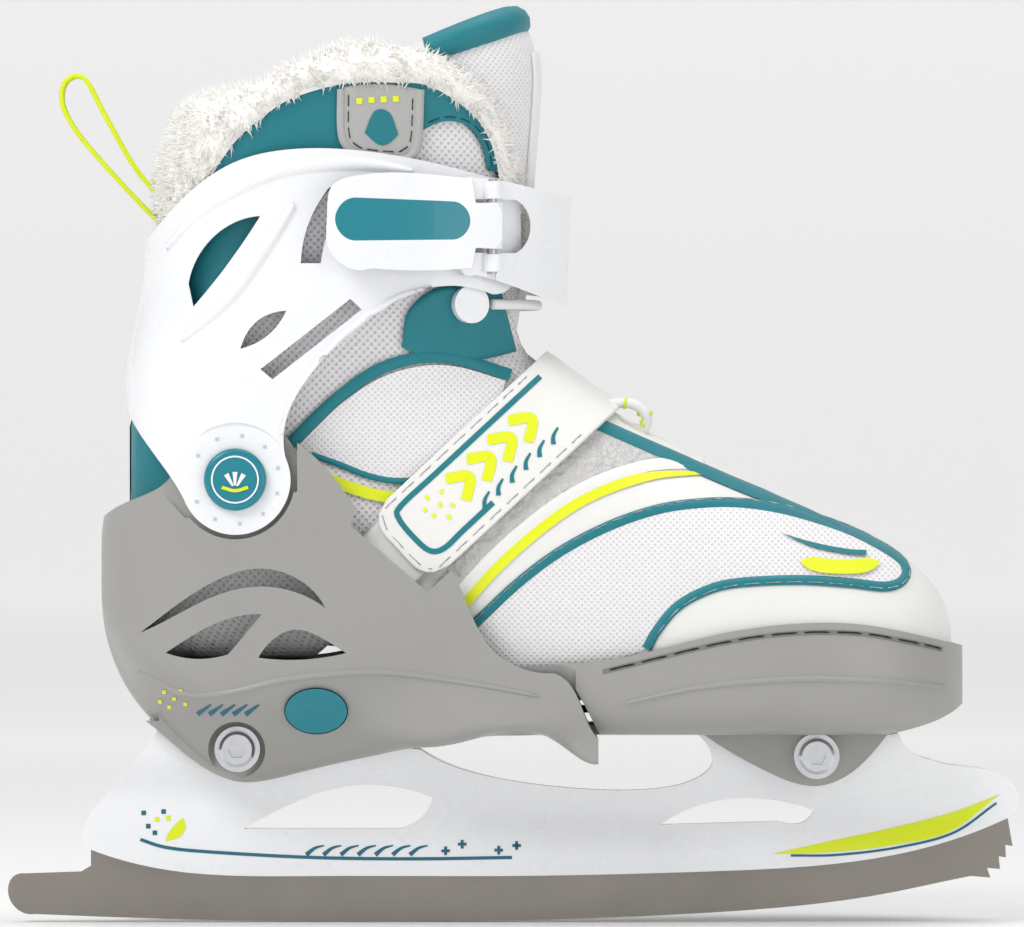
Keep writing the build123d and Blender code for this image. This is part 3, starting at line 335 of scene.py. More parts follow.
teal_ink = finish("teal_ink", (0.012, 0.13, 0.2), 0.35, marks=0.04)
lime_ink = finish("lime_ink", (0.72, 0.83, 0.01), 0.38, marks=0.04)
holder_side = on_solid("blade_holder")
RAIL_LINE = [(-112, 25), (-104, 22.6), (-90, 21.2), (-60, 19.6), (-30, 19.2), (0, 19.6)]
for side, tag in ((-1, "outer"), (1, "inner")):
    side_strip(f"holder_line_{tag}", holder_side, RAIL_LINE, 1.0, teal_ink, "chassis", side, count=70)
    for k in range(7):
        x = -62 + k * 5.2
        side_strip(f"holder_slash_{tag}_{k}", holder_side, [(x, 20.4), (x + 2.6, 22.4), (x + 5.4, 23.2)],
                   1.4, teal_ink, "chassis", side, lift=0.00016, count=12, taper=lambda t: 1 - 0.7 * t)
    for k, (x, z) in enumerate(((-20, 21.6), (-15, 23.6), (-4, 21.8), (1.4, 23.2))):
        for turn in (0, 1):
            dx, dz = (1.3, 0) if turn else (0, 1.3)
            side_strip(f"holder_cross_{tag}_{k}_{turn}", holder_side, [(x - dx, z - dz), (x + dx, z + dz)], 0.9,
                       teal_ink, "chassis", side, count=4)
    side_patch(f"holder_crescent_{tag}", holder_side, [(-99, 31.5), (-101, 30), (-103.5, 27), (-104.4, 24.4)],
               [(-99, 31.5), (-98.4, 28.4), (-100.4, 25.6), (-104.4, 24.4)], lime_ink, "chassis", side, columns=16, rows=6)
    for k, (x, z) in enumerate(((-107, 31), (-105, 33.4), (-109.6, 29), (-103.6, 31.4), (-107.6, 27), (-111, 33))):
        side_strip(f"holder_dot_{tag}_{k}", holder_side, [(x - 0.7, z), (x + 0.7, z)], 1.4,
                   lime_ink if k % 3 == 0 else teal_ink, "chassis", side, count=4)
    side_patch(f"holder_wedge_{tag}", holder_side,
               [(78, 20.6), (96, 24.6), (114, 28.4), (132, 33), (147, 38.6)],
               [(78, 20.6), (96, 21.2), (114, 23.2), (132, 27.4), (147, 38.6)], lime_ink, "chassis", side, columns=40)
    side_strip(f"holder_wedge_line_{tag}", holder_side, [(84, 20.2), (98, 20.4), (116, 22.6), (133, 27), (146, 36)],
               0.7, teal_ink, "chassis", side, lift=0.00018, count=40)

# ---------------------------------------------------------------- axle hardware
# Zinc-plated socket-head bolts, washers and sleeve nuts that hold the holder to the shells.
plated = finish("plated_steel", (0.62, 0.63, 0.65), 0.2, marks=0.08, marks_size=160.0, Metallic=1.0)
dark_steel = finish("hinge_steel", (0.45, 0.45, 0.46), 0.3, marks=0.1, Metallic=1.0)
paint(plated, "axle_bolts", "axle_washers", "axle_nuts", "rack_screws", "strap_rivets")
paint(dark_steel, "button_spring", "strap_pin", "lever_pin", "pivot_rivet_right", "pivot_rivet_left")

# ---------------------------------------------------------------- grey shells
# Two satin grey nylon mouldings: the heel shell with its windows, and the toe shell that slides in it.
# The toe shell is stitched to the boot along its lip.
shell_grey = finish("shell_grey", (0.335, 0.328, 0.31), 0.4, marks=0.07, marks_size=22.0, grain=2600.0,
                    grain_depth=0.00003, Coat_Weight=0.08, Coat_Roughness=0.3)
board_black = finish("board_black", (0.03, 0.03, 0.034), 0.5)
paint(shell_grey, "heel_shell", "toe_shell")
soften(0.0009, "heel_shell", "toe_shell")
paint(board_black, "foot_board", "size_rack")

heel_side, toe_side = on_solid("heel_shell"), on_solid("toe_shell")
# A darker shell grey used as painted shade, for the shadow in the groove along the toe shell's lip.
shell_shade = finish("painted_lip_shade", (0.2, 0.195, 0.185), 0.6)
for side, tag in ((-1, "outer"), (1, "inner")):
    for k, (x, z) in enumerate(((-104, 70), (-101, 68), (-105.4, 67), (-102.6, 65.4), (-99, 70.4), (-97.6, 66.4))):
        side_strip(f"shell_dot_{tag}_{k}", heel_side, [(x - 0.6, z), (x + 0.6, z)], 1.2, lime_ink, "chassis", side,
                   count=4, lift=0.0002)
    for k in range(5):
        x = -94 + 3.6 * k
        side_strip(f"shell_slash_{tag}_{k}", heel_side, [(x, 63.4), (x + 2, 64.8), (x + 4.2, 66.4)], 1.5, teal_ink,
                   "chassis", side, count=12, lift=0.0002, taper=lambda t: 1 - 0.7 * t)
    # Painted shade: a flat darker band along the toe shell's lip stands for the groove's shadow.
    side_strip(f"toe_lip_shade_{tag}", toe_side,
               [(27, 76.2), (36, 78.4), (62.6, 84.8), (82.7, 87.6), (103, 87.6), (119, 84.9), (129, 82.6)], 1.5,
               shell_shade, "toe_slider", side, lift=0.0001, count=90)
    side_strip(f"toe_rib_{tag}", toe_side, [(34, 67), (56, 71.6), (84, 74), (110, 73.4), (130, 71.5)], 2.2, shell_grey,
               "toe_slider", side, lift=-0.0003, crown=0.0011, count=70,
               taper=lambda t: 0.35 + 0.65 * math.sin(math.pi * t) ** 0.5)
    side_strip(f"heel_rib_{tag}", heel_side, [(-112, 76), (-98, 69.5), (-84, 70), (-66, 74), (-40, 76), (-14, 73), (8, 69)],
               2.4, shell_grey, "chassis", side, lift=-0.0003, crown=0.0011, count=90,
               taper=lambda t: 0.35 + 0.65 * math.sin(math.pi * t) ** 0.5)

# ---------------------------------------------------------------- push button
# A teal moulded oval that unlocks the size slide.
teal_moulding = finish("teal_moulding", (0.0, 0.21, 0.27), 0.3, marks=0.05, marks_size=40.0, Coat_Weight=0.2)
paint(teal_moulding, "push_button", "pivot_cap_right", "pivot_cap_left", "lever_inlay")
soften(0.0009, "cuff", "cuff_strap", "buckle_lever")
cuff_side = on_solid("cuff")
# A light grey used as painted shade, for the shadow in the cuff's dimples round the pivot.
dimple_shade = finish("dimple_shade", (0.55, 0.56, 0.58), 0.4)
for side, tag in ((-1, "outer"), (1, "inner")):
    cap_side = on_solid("pivot_cap_right" if side < 0 else "pivot_cap_left")
    ring = [(-82.5 + 6.9 * math.cos(a * math.pi / 6), 133.5 + 6.9 * math.sin(a * math.pi / 6)) for a in range(12)]
    side_strip(f"cap_ring_{tag}", cap_side, ring, 0.5, white_moulding, "chassis", side, closed=True, count=60, lift=0.0002)
    for k in range(3):
        lean = math.radians(60 + 30 * k)
        start, end = 1.2, 5.2
        side_strip(f"cap_ray_{tag}_{k}", cap_side,
                   [(-82.5 + start * math.cos(lean), 130.6 + start * math.sin(lean)),
                    (-82.5 + end * math.cos(lean), 130.6 + end * math.sin(lean))], 1.5, white_moulding, "chassis", side,
                   count=8, lift=0.0002, taper=lambda t: 0.4 + 0.6 * t)
    side_strip(f"cap_bar_{tag}", cap_side, [(-86.4, 131.2), (-82.5, 130.2), (-78.6, 131.2)], 1.0, lime_ink, "chassis", side,
               count=12, lift=0.0003)
    # Painted shade: ten flat grey discs on the white cuff stand for the shadow in its dimples.
    for k in range(10):
        a = math.radians(-150 + 33 * k)
        x, z = -82.5 + 13.2 * math.cos(a), 133.5 + 13.2 * math.sin(a)
        side_strip(f"cuff_dimple_shade_{tag}_{k}", cuff_side, [(x - 0.5, z), (x + 0.5, z)], 1.0, dimple_shade, "cuff_body", side,
                   count=4, lift=0.0002)
    for k, (line, wide) in enumerate((
            ([(-103, 203), (-96, 211), (-88, 217), (-69.6, 225.6), (-48.6, 227.6), (-30, 225.6)], 5.5),
            ([(-98.6, 175), (-84.6, 187.5), (-74.6, 201), (-65, 215.5)], 4.6),
            ([(-68.6, 147), (-64.6, 157.5), (-53.6, 172), (-37, 186), (-24, 191)], 4.2))):
        side_strip(f"cuff_rib_{tag}_{k}", cuff_side, line, wide, white_moulding, "cuff_body", side, lift=-0.0003,
                   crown=0.0016, count=60, taper=lambda t: 0.3 + 0.7 * math.sin(math.pi * t) ** 0.5)
paint(white_moulding, "cuff", "buckle_ladder", "cuff_strap", "strap_bracket", "buckle_lever", "cuff_rivets", "lace_hooks")

# ---------------------------------------------------------------- vamp
# The front of the boot in smooth white faux leather, glued under the insole and stretched over the toes.
# It bridges the heel and toe shells, so it stretches as the toe shell slides out.
FOOT = [
    (-114.6, 12.0, 92.0, 150.0, 0.0), (-112.8, 19.0, 85.0, 158.0, 0.0), (-107.5, 26.5, 80.5, 166.0, 0.0),
    (-98.0, 31.0, 79.0, 174.0, 0.0), (-82.0, 33.0, 78.5, 182.0, 0.0), (-55.0, 34.0, 77.5, 188.0, 0.0),
    (-30.0, 35.5, 74.5, 190.0, 0.0), (-10.0, 37.0, 70.5, 182.0, 0.0), (10.0, 38.6, 68.0, 169.0, 0.3),
    (30.0, 41.5, 67.0, 154.5, 1.2), (50.0, 44.3, 66.6, 143.5, 2.4), (72.0, 45.5, 66.4, 132.5, 3.4),
    (90.0, 44.6, 66.4, 124.0, 4.0), (105.0, 41.5, 66.8, 117.5, 4.5), (117.0, 35.5, 68.0, 111.0, 4.9),
    (125.5, 27.0, 70.5, 104.0, 5.2), (130.5, 16.5, 75.0, 96.5, 5.4), (132.2, 8.0, 80.0, 91.0, 5.5),
    (132.7, 0.6, 84.0, 87.0, 5.5),
]
SHAPE = [(0, 0), (0.3, 0), (0.6, 0), (0.76, 0.012), (0.92, 0.07), (1, 0.24), (0.95, 0.5), (0.76, 0.76),
         (0.42, 0.94), (0, 1)]
LEG = [
    (108.0, -114.4, 22.0, 33.0, 2.6), (122.0, -114.4, 20.0, 33.0, 2.6), (137.0, -113.4, 16.0, 33.3, 2.6),
    (152.0, -110.8, 12.0, 34.0, 2.6), (170.0, -111.2, 6.5, 34.8, 2.6), (188.0, -108.3, 6.0, 35.5, 2.5),
    (205.0, -105.8, 7.5, 36.4, 2.5), (225.0, -103.2, 8.5, 37.2, 2.4), (245.0, -101.0, 8.0, 38.2, 2.4),
    (262.0, -98.5, 7.2, 38.8, 2.4), (280.0, -96.0, 5.8, 39.2, 2.4),
]


def row_at(table, where):
    """The table's other columns at a value of its first, joined smoothly."""
    where = min(max(where, table[0][0]), table[-1][0])
    k = max(i for i in range(len(table) - 1) if table[i][0] <= where)
    a, b = table[k], table[k + 1]
    before, after = table[max(k - 1, 0)], table[min(k + 2, len(table) - 1)]
    t = (where - a[0]) / (b[0] - a[0])
    out = []
    for c in range(1, len(a)):
        into = (b[c] - before[c]) / (b[0] - before[0]) * (b[0] - a[0])
        outof = (after[c] - a[c]) / (after[0] - a[0]) * (b[0] - a[0])
        h = (2 * t**3 - 3 * t**2 + 1) * a[c] + (t**3 - 2 * t**2 + t) * into
        out.append(h + (3 * t**2 - 2 * t**3) * b[c] + (t**3 - t**2) * outof)
    return out


half_ring = smooth_path([(a, 0, b) for a, b in SHAPE], 201)
half_ring = [Vector((p.x, 0, p.z)) for p in half_ring]


def foot_ring(x, t, side, grow):
    """The foot form at a station x, from under the sole at t = 0 up to the ridge at t = 1."""
    half, low, high, lean = row_at(FOOT, x)
    k = min(max(t, 0), 1) * 200
    p = half_ring[int(k)].lerp(half_ring[min(int(k) + 1, 200)], k - int(k))
    return Vector((x, lean + side * max(p.x, 0) * (half + grow), low - grow + p.z * (high - low + 2 * grow)))


def foot_reach(x, z, grow):
    """Half the foot form's width at a side-view place, and its lean; negative outside it."""
    if not FOOT[0][0] <= x <= FOOT[-1][0]:
        return -60.0, 0.0
    half, low, high, lean = row_at(FOOT, x)
    share = (z - low + grow) / (high - low + 2 * grow)
    if share >= 1 or share <= 0:
        return -60.0 * max(share - 1, -share), lean
    for a, b in zip(half_ring[60:], half_ring[61:]):
        if b.z >= share >= a.z and b.z > a.z:
            return a.lerp(b, (share - a.z) / (b.z - a.z)).x * (half + grow), lean
    return half * 0.6, lean


def leg_reach(x, z, grow):
    """Half the leg form's width at a side-view place; negative outside it."""
    back, front, half, square = row_at(LEG, z)
    ahead = x >= -70
    power = 2.2 if ahead else square
    share = abs(x + 70) / ((front + 70 if ahead else -70 - back) + grow)
    if z < 108 or share >= 1:
        return -60.0 * max(share - 1, 0) - (20.0 if z < 108 else 0)
    return (half + grow) * (1 - share**power) ** (1 / power)


def boot_point(x, z, side, grow):
    """The boot's outside at a side-view place, in mm: foot and leg forms melted together."""
    foot, lean = foot_reach(x, z, grow)
    leg = leg_reach(x, z, grow)
    melt = 5.0
    mix = min(max(0.5 + (foot - leg) / (2 * melt), 0), 1)
    reach = leg + (foot - leg) * mix + melt * mix * (1 - mix) * 0.5
    return Vector((x, side * max(reach, 0) + lean * mix, z))


def on_boot(grow=0.0):
    """A function from a side-view place in metres to the boot's surface there and its normal."""
    def place(x, z, side=-1):
        x, z = x / MM, z / MM
        here = boot_point(x, z, side, grow)
        step = 0.7
        slope_x = (boot_point(x + step, z, side, grow).y - boot_point(x - step, z, side, grow).y) / (2 * step)
        slope_z = (boot_point(x, z + step, side, grow).y - boot_point(x, z - step, side, grow).y) / (2 * step)
        return here * MM, Vector((-slope_x * side, side, -slope_z * side)).normalized()
    return place


def metric_uv(columns, rows, place):
    """Lays the cut flat: the UVs are in metres along and across the sheet."""
    table = [[place(i, j) for j in range(rows + 1)] for i in range(columns + 1)]
    along = [[0.0] * (rows + 1) for _ in range(columns + 1)]
    across = [[0.0] * (rows + 1) for _ in range(columns + 1)]
    for i in range(columns + 1):
        for j in range(rows + 1):
            if i:
                along[i][j] = along[i - 1][j] + (table[i][j] - table[i - 1][j]).length
            if j:
                across[i][j] = across[i][j - 1] + (table[i][j] - table[i][j - 1]).length
    return along, across


def cut_sheet(columns, rows, place, facing, flat=None):
    """A grid mapped by place(i, j), with its cut laid flat in a UV map and its faces turned outwards."""
    sheet = bmesh.new()
    bmesh.ops.create_grid(sheet, x_segments=columns, y_segments=rows, size=1.0)
    corner = {}
    for v in sheet.verts:
        corner[v.index] = (round((v.co.x + 1) / 2 * columns), round((v.co.y + 1) / 2 * rows))
    along, across = metric_uv(columns, rows, place)
    cut = sheet.loops.layers.uv.new("cut")
    for face in sheet.faces:
        for loop in face.loops:
            i, j = corner[loop.vert.index]
            loop[cut].uv = flat(along, across, i, j) if flat else (along[i][j], across[i][j])
    for v in sheet.verts:
        v.co = place(*corner[v.index])
    return outward(sheet, facing)


def weave_group():
    """A spacer mesh: rows of small holes between rounded threads, as height and as hole mask."""
    f = "NodeSocketFloat"
    tree, enter, leave = group_of(
        "spacer_mesh", [("Pitch", f, 0.0016), ("Open", f, 0.5)], [("Height", f), ("Hole", f)]
    )
    cut = add(tree, "ShaderNodeUVMap", uv_map="cut")
    apart = add(tree, "ShaderNodeSeparateXYZ", {0: (cut, 0)})
    plus = add(tree, "ShaderNodeMath", {0: (apart, "X"), 1: (apart, "Y")}, operation="ADD")
    minus = add(tree, "ShaderNodeMath", {0: (apart, "X"), 1: (apart, "Y")}, operation="SUBTRACT")
    waves = []
    for way in (plus, minus):
        turned = add(tree, "ShaderNodeMath", {0: (way, 0), 1: (enter, "Pitch")}, operation="DIVIDE")
        angle = add(tree, "ShaderNodeMath", {0: (turned, 0), 1: math.pi}, operation="MULTIPLY")
        sine = add(tree, "ShaderNodeMath", {0: (angle, 0)}, operation="SINE")
        waves.append(add(tree, "ShaderNodeMath", {0: (sine, 0)}, operation="ABSOLUTE"))
    both = add(tree, "ShaderNodeMath", {0: (waves[0], 0), 1: (waves[1], 0)}, operation="MULTIPLY")
    hole = add(tree, "ShaderNodeMapRange", {"Value": (both, 0), "From Min": (enter, "Open"), "From Max": 0.95})
    hole.interpolation_type = "SMOOTHSTEP"
    up = add(tree, "ShaderNodeMath", {0: 1.0, 1: (hole, 0)}, operation="SUBTRACT")
    tree.links.new(up.outputs[0], leave.inputs["Height"])
    tree.links.new(hole.outputs[0], leave.inputs["Hole"])
    return tree


spacer_mesh = weave_group()


def woven(pitch, depth, shade, openness=0.45):
    def build(tree, surface, marked, bump):
        mesh = add(tree, "ShaderNodeGroup", node_tree=spacer_mesh)
        mesh.inputs["Pitch"].default_value = pitch
        mesh.inputs["Open"].default_value = openness
        rise = add(tree, "ShaderNodeBump", {"Height": (mesh, "Height"), "Normal": (bump, "Normal"), "Distance": depth})
        rise.inputs["Strength"].default_value = 1.0
        # Painted shade: the holes are darkened by the shade factor, for the shadow inside them.
        dark = add(tree, "ShaderNodeVectorMath", {0: (marked, "Colour"), 3: shade}, operation="SCALE")
        mix = add(tree, "ShaderNodeMix", data_type="RGBA")
        tree.links.new(mesh.outputs["Hole"], mix.inputs["Factor"])
        tree.links.new(marked.outputs["Colour"], mix.inputs["A"])
        tree.links.new(dark.outputs[0], mix.inputs["B"])
        tree.links.new(mix.outputs["Result"], surface.inputs["Base Color"])
        tree.links.new(rise.outputs["Normal"], surface.inputs["Normal"])
    return build


faux_leather = finish("faux_leather", (0.82, 0.815, 0.795), 0.46, marks=0.05, marks_size=45.0, grain=1300.0,
                      grain_depth=0.00005, Sheen_Weight=0.05)
# In both meshes woven's third number is the painted shade in the holes.
white_mesh = finish("white_mesh", (0.84, 0.82, 0.835), 0.85, marks=0.04, height=woven(0.0024, 0.0003, 0.78),
                    Sheen_Weight=0.3)
fine_mesh = finish("fine_mesh", (0.84, 0.82, 0.835), 0.85, marks=0.04, height=woven(0.0019, 0.00022, 0.84),
                   Sheen_Weight=0.3)
SIZE_STRETCH = ("chassis", "toe_slider", (0.025, 0, 0.1), (0.060, 0, 0.1))
CUFF_STRETCH = ("chassis", "cuff_body", (-0.0817, 0, 0.1317), (-0.0951, 0, 0.1607))
VAMP_STATIONS = 84


def strap_line(z):
    return max(-36.5 + (z - 109.9) * 1.072 + 3, -45)


def vamp_start(t, side):
    """Where the vamp begins at a place round the foot: under the middle of the instep strap."""
    low, high = -45.0, 60.0
    for _ in range(24):
        x = (low + high) / 2
        if x < strap_line(foot_ring(x, t, side, 0).z):
            low = x
        else:
            high = x
    return low


vamp_starts = [vamp_start(0.1 + 0.9 * k / 40, 1) for k in range(41)]


def vamp_place(i, j, columns=VAMP_STATIONS, rows=80, grow=0.0):
    side = -1 if j < rows / 2 else 1
    t = 1 - abs(j - rows / 2) / (rows / 2)
    k = t * 40
    start = vamp_starts[int(k)] + (vamp_starts[min(int(k) + 1, 40)] - vamp_starts[int(k)]) * (k - int(k))
    share = math.sin(i / columns * math.pi / 2) ** 0.82
    return foot_ring(start + (132.7 - start) * share, 0.1 + 0.9 * t, side, grow) * MM


def away_from_middle(point):
    return point - Vector((point.x * 0.9, 0, 0.1))


vamp_cut = cut_sheet(VAMP_STATIONS, 80, vamp_place, away_from_middle,
                     lambda along, across, i, j: (vamp_place(i, j).x, across[i][j] - across[i][40]))
vamp = link("vamp", vamp_cut, faux_leather, None, ["liner_toe"],
            blend=SIZE_STRETCH, slot="boot_mesh")
thicken(vamp, 0.0025)

# ---------------------------------------------------------------- ankle
# The rear of the boot in white spacer mesh, from the shells up to the collar, hinged with the cuff.
# It is one wrap from the front edge round the heel to the other front edge.
FRONT_EDGE = [(78, -62), (95, -42), (110, -24), (130, -4), (150, 14), (165, 12), (172, 4), (180, 1), (190, -3),
              (205, -3), (223, -3.6), (240, -12), (256, -22)]
COLLAR_LINE = [(0, 212), (0.2, 214), (0.42, 232), (0.62, 246), (0.8, 252), (1, 253.5)]


def back_line(z):
    foot_back = -114.6 if 92 <= z <= 150 else -114.6 + abs(z - (92 if z < 92 else 150)) * 0.35
    return min(row_at(LEG, z)[0] if z >= 108 else 0, foot_back)


def ankle_place(i, j, columns=96, rows=60, grow=-0.5):
    turn = 2 * i / columns - 1
    side, u = (-1 if turn < 0 else 1), abs(turn)
    z = 78 + (row_at(COLLAR_LINE, u)[0] - 78) * j / rows
    back, front = back_line(z) - grow + 0.05, row_at(FRONT_EDGE, z)[0]
    share = (1 - math.cos(u * math.pi / 2)) ** 1.05
    spot = boot_point(back + (front - back) * share, z, side, grow - 0.5 * u)
    if u < 1e-6:
        spot.y = 0
    return spot * MM


def from_ankle(point):
    return Vector((point.x + 0.06, point.y, 0))


ankle_cut = cut_sheet(96, 60, ankle_place, from_ankle,
                      lambda along, across, i, j: (along[i][j] - along[48][j], ankle_place(i, j).z))
ankle = link("ankle", ankle_cut, white_mesh, None, ["liner_foot", "liner_collar"],
             blend=CUFF_STRETCH, slot="boot_mesh")
thicken(ankle, 0.003)

# ---------------------------------------------------------------- vamp panels
# Fine mesh let into the vamp on both sides, edged with a stitched teal binding, and a crinkled stretch gusset.
# A lime stripe is printed between them and a thicker teal piping follows the ridge.
teal_cloth = finish("teal_cloth", (0.0, 0.185, 0.225), 0.55, marks=0.06, marks_size=90.0, grain=3200.0,
                    grain_depth=0.00004, Sheen_Weight=0.1)
silver_stretch = finish("silver_stretch", (0.56, 0.55, 0.54), 0.36, marks=0.22, marks_size=420.0, grain=380.0,
                        grain_depth=0.0016, Sheen_Weight=0.2)
lime_print = finish("lime_print", (0.78, 0.86, 0.01), 0.42, marks=0.03)
lime_web = finish("lime_web", (0.70, 0.82, 0.008), 0.7, marks=0.05, grain=2200.0, grain_depth=0.0002)
thread_white = finish("thread_white", (0.8, 0.8, 0.78), 0.7, marks=0.02)
thread_teal = finish("thread_teal", (0.0, 0.12, 0.15), 0.7, marks=0.02)
thread_dark = finish("thread_dark", (0.035, 0.033, 0.03), 0.7, marks=0.02)

LOOP_TOP = [(-11.9, 89.7), (1.8, 102.6), (14.7, 112.2), (29.1, 119.7), (43.2, 124.5), (55.2, 126.3), (66.9, 126.6),
            (78.9, 125.1), (90.6, 122.1), (102.6, 117.9), (114.3, 111.6), (118.4, 107.4)]
LOOP_LOW = [(118.4, 107.4), (117.4, 103.4), (111.9, 101.4), (100.2, 102.6), (84.8, 103.5), (66.9, 102.6),
            (57.5, 100.2), (49.2, 95.5), (43.2, 88.5), (40.2, 83.1)]
MESH_LOW = [(-11.9, 89.7), (-6, 82), (6, 76.5), (24, 78.5), (40.2, 83.1)] + LOOP_LOW[-2::-1]
LIME_LINE = [(-14.9, 95.5), (-4.2, 107.4), (7.7, 118), (19.5, 126.3), (31.4, 131.7), (43.2, 134.7), (57.5, 135.3)]
RIDGE_LINE = [(20, 152.6), (26.1, 150), (38.4, 144.6), (51.6, 138.9), (66.9, 132.3), (78.9, 127.5), (88.8, 123.6),
              (98, 119.4)]


def stitches(name, surface, points, material, body, side=-1, length=2.0, gap=1.1, thick=0.36, lift=0.0002,
             closed=False, **kw):
    """A row of thread stitches along a drawn line over a surface."""
    rough = smooth_path([(x * MM, 0, z * MM) for x, z in points], 160, closed)
    laid = [surface(p.x, p.z, side)[0] for p in rough]
    whole = path_length(laid)
    count = max(int(whole / ((length + gap) * MM)), 2)
    row = bmesh.new()
    bmesh.ops.create_uvsphere(row, u_segments=6, v_segments=4, radius=1.0)
    base = [v.co.copy() for v in row.verts]
    size = len(base)
    while len(row.verts) < size * count:
        room = count - len(row.verts) // size
        geom = list(row.verts) + list(row.edges) + list(row.faces)
        if room * size < len(row.verts):
            row.verts.ensure_lookup_table()
            keep = set(row.verts[: room * size])
            geom = [g for g in geom if (g in keep if isinstance(g, bmesh.types.BMVert)
                                        else all(v in keep for v in g.verts))]
        bmesh.ops.duplicate(row, geom=geom)
    row.verts.ensure_lookup_table()
    path = smooth_path(laid, count * 2 + 1)
    for k in range(count):
        middle, before, after = path[2 * k + 1], path[2 * k], path[2 * k + 2]
        normal = surface(middle.x, middle.z, side)[1]
        along = (after - before).normalized()
        across = normal.cross(along).normalized()
        for m in range(size):
            b = base[m]
            row.verts[k * size + m].co = (middle + along * (b.z * length / 2 * MM) + across * (b.x * thick / 2 * MM)
                                          + normal * (lift + b.y * thick / 2 * MM))
    return link(name, row, material, body, **kw)


def offset_line(points, by, count=40):
    """A drawn line moved sideways, to its left."""
    path = smooth_path([(x, 0, z) for x, z in points], count)
    out = []
    for i, p in enumerate(path):
        along = (path[min(i + 1, count - 1)] - path[max(i - 1, 0)]).normalized()
        out.append((p.x - along.z * by, p.z + along.x * by))
    return out


skin = on_boot(0.25)
for side, tag in ((-1, "outer"), (1, "inner")):
    stitches(f"toe_lip_thread_{tag}", toe_side,
             [(28, 76.6), (36, 78.5), (62.6, 84.9), (82.7, 87.7), (103, 87.7), (119, 85), (129, 82.7)], thread_dark,
             "toe_slider", side, length=3.4, gap=1.4, thick=0.6, lift=0.0002)
    side_patch(f"toe_mesh_{tag}", on_boot(0.1), LOOP_TOP, MESH_LOW,
               fine_mesh, None, side, lift=0.0001, columns=70, rows=34, bulge=0.0006, blend=SIZE_STRETCH)
    side_strip(f"toe_binding_{tag}", skin, LOOP_TOP + LOOP_LOW[1:], 3.0, teal_cloth, None, side, lift=0.0001,
               crown=0.0006, count=150, blend=SIZE_STRETCH)
    stitches(f"toe_binding_thread_{tag}", skin, offset_line(LOOP_TOP + LOOP_LOW[1:], 0.75, 90), thread_white, None, side,
             length=1.7, gap=1.5, lift=0.0007, thick=0.3, blend=SIZE_STRETCH)
    side_patch(f"stretch_gusset_{tag}", on_boot(0.2),
               [(-30, 94), (-18, 108), (-6, 120), (8, 134), (20, 147), (30, 149), (44, 142.6), (57.5, 137)],
               LIME_LINE, silver_stretch, None, side, lift=0.0001, columns=60, rows=24, blend=SIZE_STRETCH)
    side_strip(f"lime_line_{tag}", skin, LIME_LINE, 3.0, lime_print, None, side, lift=0.00025, count=70,
               blend=SIZE_STRETCH, taper=lambda t: 1 - 0.75 * max(t - 0.75, 0) / 0.25)
    side_strip(f"lime_line_edge_{tag}", skin, offset_line(LIME_LINE, 3.2), 3.6, faux_leather, None, side, lift=0.0002,
               crown=0.0003, count=70, blend=SIZE_STRETCH)
    side_strip(f"ridge_piping_{tag}", skin, RIDGE_LINE, 3.6, teal_cloth, None, side, lift=0.0002, crown=0.0009,
               count=70, blend=SIZE_STRETCH, taper=lambda t: 1 - 0.8 * max(t - 0.7, 0) / 0.3)
    side_strip(f"toe_print_bar_{tag}", skin, [(86, 108.6), (94, 107.2), (103, 107), (110, 108.2)], 4.2, lime_print,
               None, side, lift=0.0009, count=24, taper=lambda t: 1 - (2 * t - 1) ** 6, blend=SIZE_STRETCH)
    side_strip(f"toe_print_line_{tag}", skin, [(80, 117), (90, 113.4), (100, 111.4), (106, 111)], 1.4, teal_cloth,
               None, side, lift=0.0009, count=24, taper=lambda t: min(1, 2.5 * t), blend=SIZE_STRETCH)

